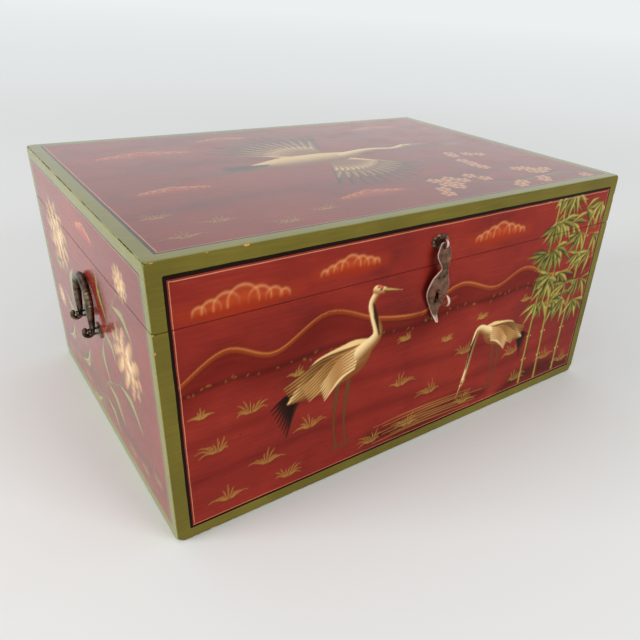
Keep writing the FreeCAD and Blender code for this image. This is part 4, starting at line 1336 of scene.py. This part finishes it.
floor_mix = add(floor_tree, "MixShader", {0: floor_fade, 1: floor_shader.outputs["BSDF"], 2: floor_glow})
fill(floor_tree.nodes["Material Output"], {"Surface": floor_mix})
fill(floor_shader, {"Base Color": rgba(floor_near), "Roughness": 0.9, "Specular IOR Level": 0.1})
floor_turn = np.linspace(0, 2 * np.pi, 64, endpoint=False)
floor_rim = floor_radius * np.stack([np.cos(floor_turn), np.sin(floor_turn), 0 * floor_turn], axis=1)
floor = new_piece("floor", floor_rim, [range(len(floor_rim))], [floor_material])

# Light: a white room, brighter round the walls than overhead, with two large soft lamps: one in front to the
# right and one to the left behind. What the camera sees of the room is the tone that the floor runs out to.
wall_strength, ceiling_strength = 0.66, 0.55
lamps = (((1.2, -3.15, 1.1), 1.8, 72), ((-3.3, 0.75, 0.95), 1.6, 100))
world = bpy.data.worlds.new("white_room")
world.use_nodes = True
room = world.node_tree
room_light = room.nodes["Background"]
room_way = add(room, "TexCoord", output="Generated")
room_height = add(room, "SeparateXYZ", {"Vector": room_way}, output="Z")
room_strength = add(room, "MapRange", {
    "Value": room_height, "From Min": 0.15, "To Min": wall_strength, "To Max": ceiling_strength,
})
fill(room_light, {"Color": rgba("#fdfeff"), "Strength": room_strength})
room_far = rgba(floor_stops[-1][1])
in_view = add(room, "LightPath", output="Is Camera Ray")
room_tone = add(room, "Mix", {"Factor": in_view, "A": rgba("#ffffff"), "B": room_far}, data_type="RGBA")
room_seen = add(room, "Background", {"Color": room_tone, "Strength": 1.0})
room_mix = add(room, "MixShader", {0: seen(room), 1: room_light.outputs["Background"], 2: room_seen})
fill(room.nodes["World Output"], {"Surface": room_mix})
bpy.context.scene.world = world


def stand(name, data, back, place, roll=0.0):
    """Lamp or camera at a place, with its back turned this way and its top upwards, then rolled."""
    level = unit(np.cross([0, 0, 1], back))
    upward = np.cross(back, level)
    right_way = np.cos(roll) * level + np.sin(roll) * upward
    up_way = np.cos(roll) * upward - np.sin(roll) * level
    thing = bpy.data.objects.new(name, data)
    axes = np.column_stack([right_way, up_way, back, place])
    thing.matrix_world = Matrix([*axes.tolist(), [0, 0, 0, 1]])
    bpy.context.scene.collection.objects.link(thing)
    return thing


for number, (lamp_place, lamp_size, lamp_power) in enumerate(lamps):
    lamp_data = bpy.data.lights.new(f"soft_lamp_{number}", "AREA")
    lamp_data.size = lamp_size
    lamp_data.energy = lamp_power
    lamp_back = unit(np.array(lamp_place) - (0, 0, case_height / 2))
    lamp = stand(f"soft_lamp_{number}", lamp_data, lamp_back, lamp_place)
    lamp.visible_glossy = False

# Camera: the photograph's view, fitted to the seven corners of the trunk that it shows. The lens is shifted,
# because the picture is not centred on the camera's axis.
camera_place = (-0.35046, -0.53151, 0.39291)
azimuth, elevation, roll = np.radians([-37.775, 28.518, 3.539])
camera_data = bpy.data.cameras.new("camera")
camera_data.sensor_width = 36
camera_data.lens = 34.38
camera_data.shift_x = -0.0707
camera_data.shift_y = 0.0128
level_back = np.array([np.sin(azimuth), -np.cos(azimuth), 0])
camera_back = np.cos(elevation) * level_back + np.array([0, 0, np.sin(elevation)])
bpy.context.scene.camera = stand("camera", camera_data, camera_back, camera_place, roll)
bpy.context.scene.view_settings.view_transform = "Standard"
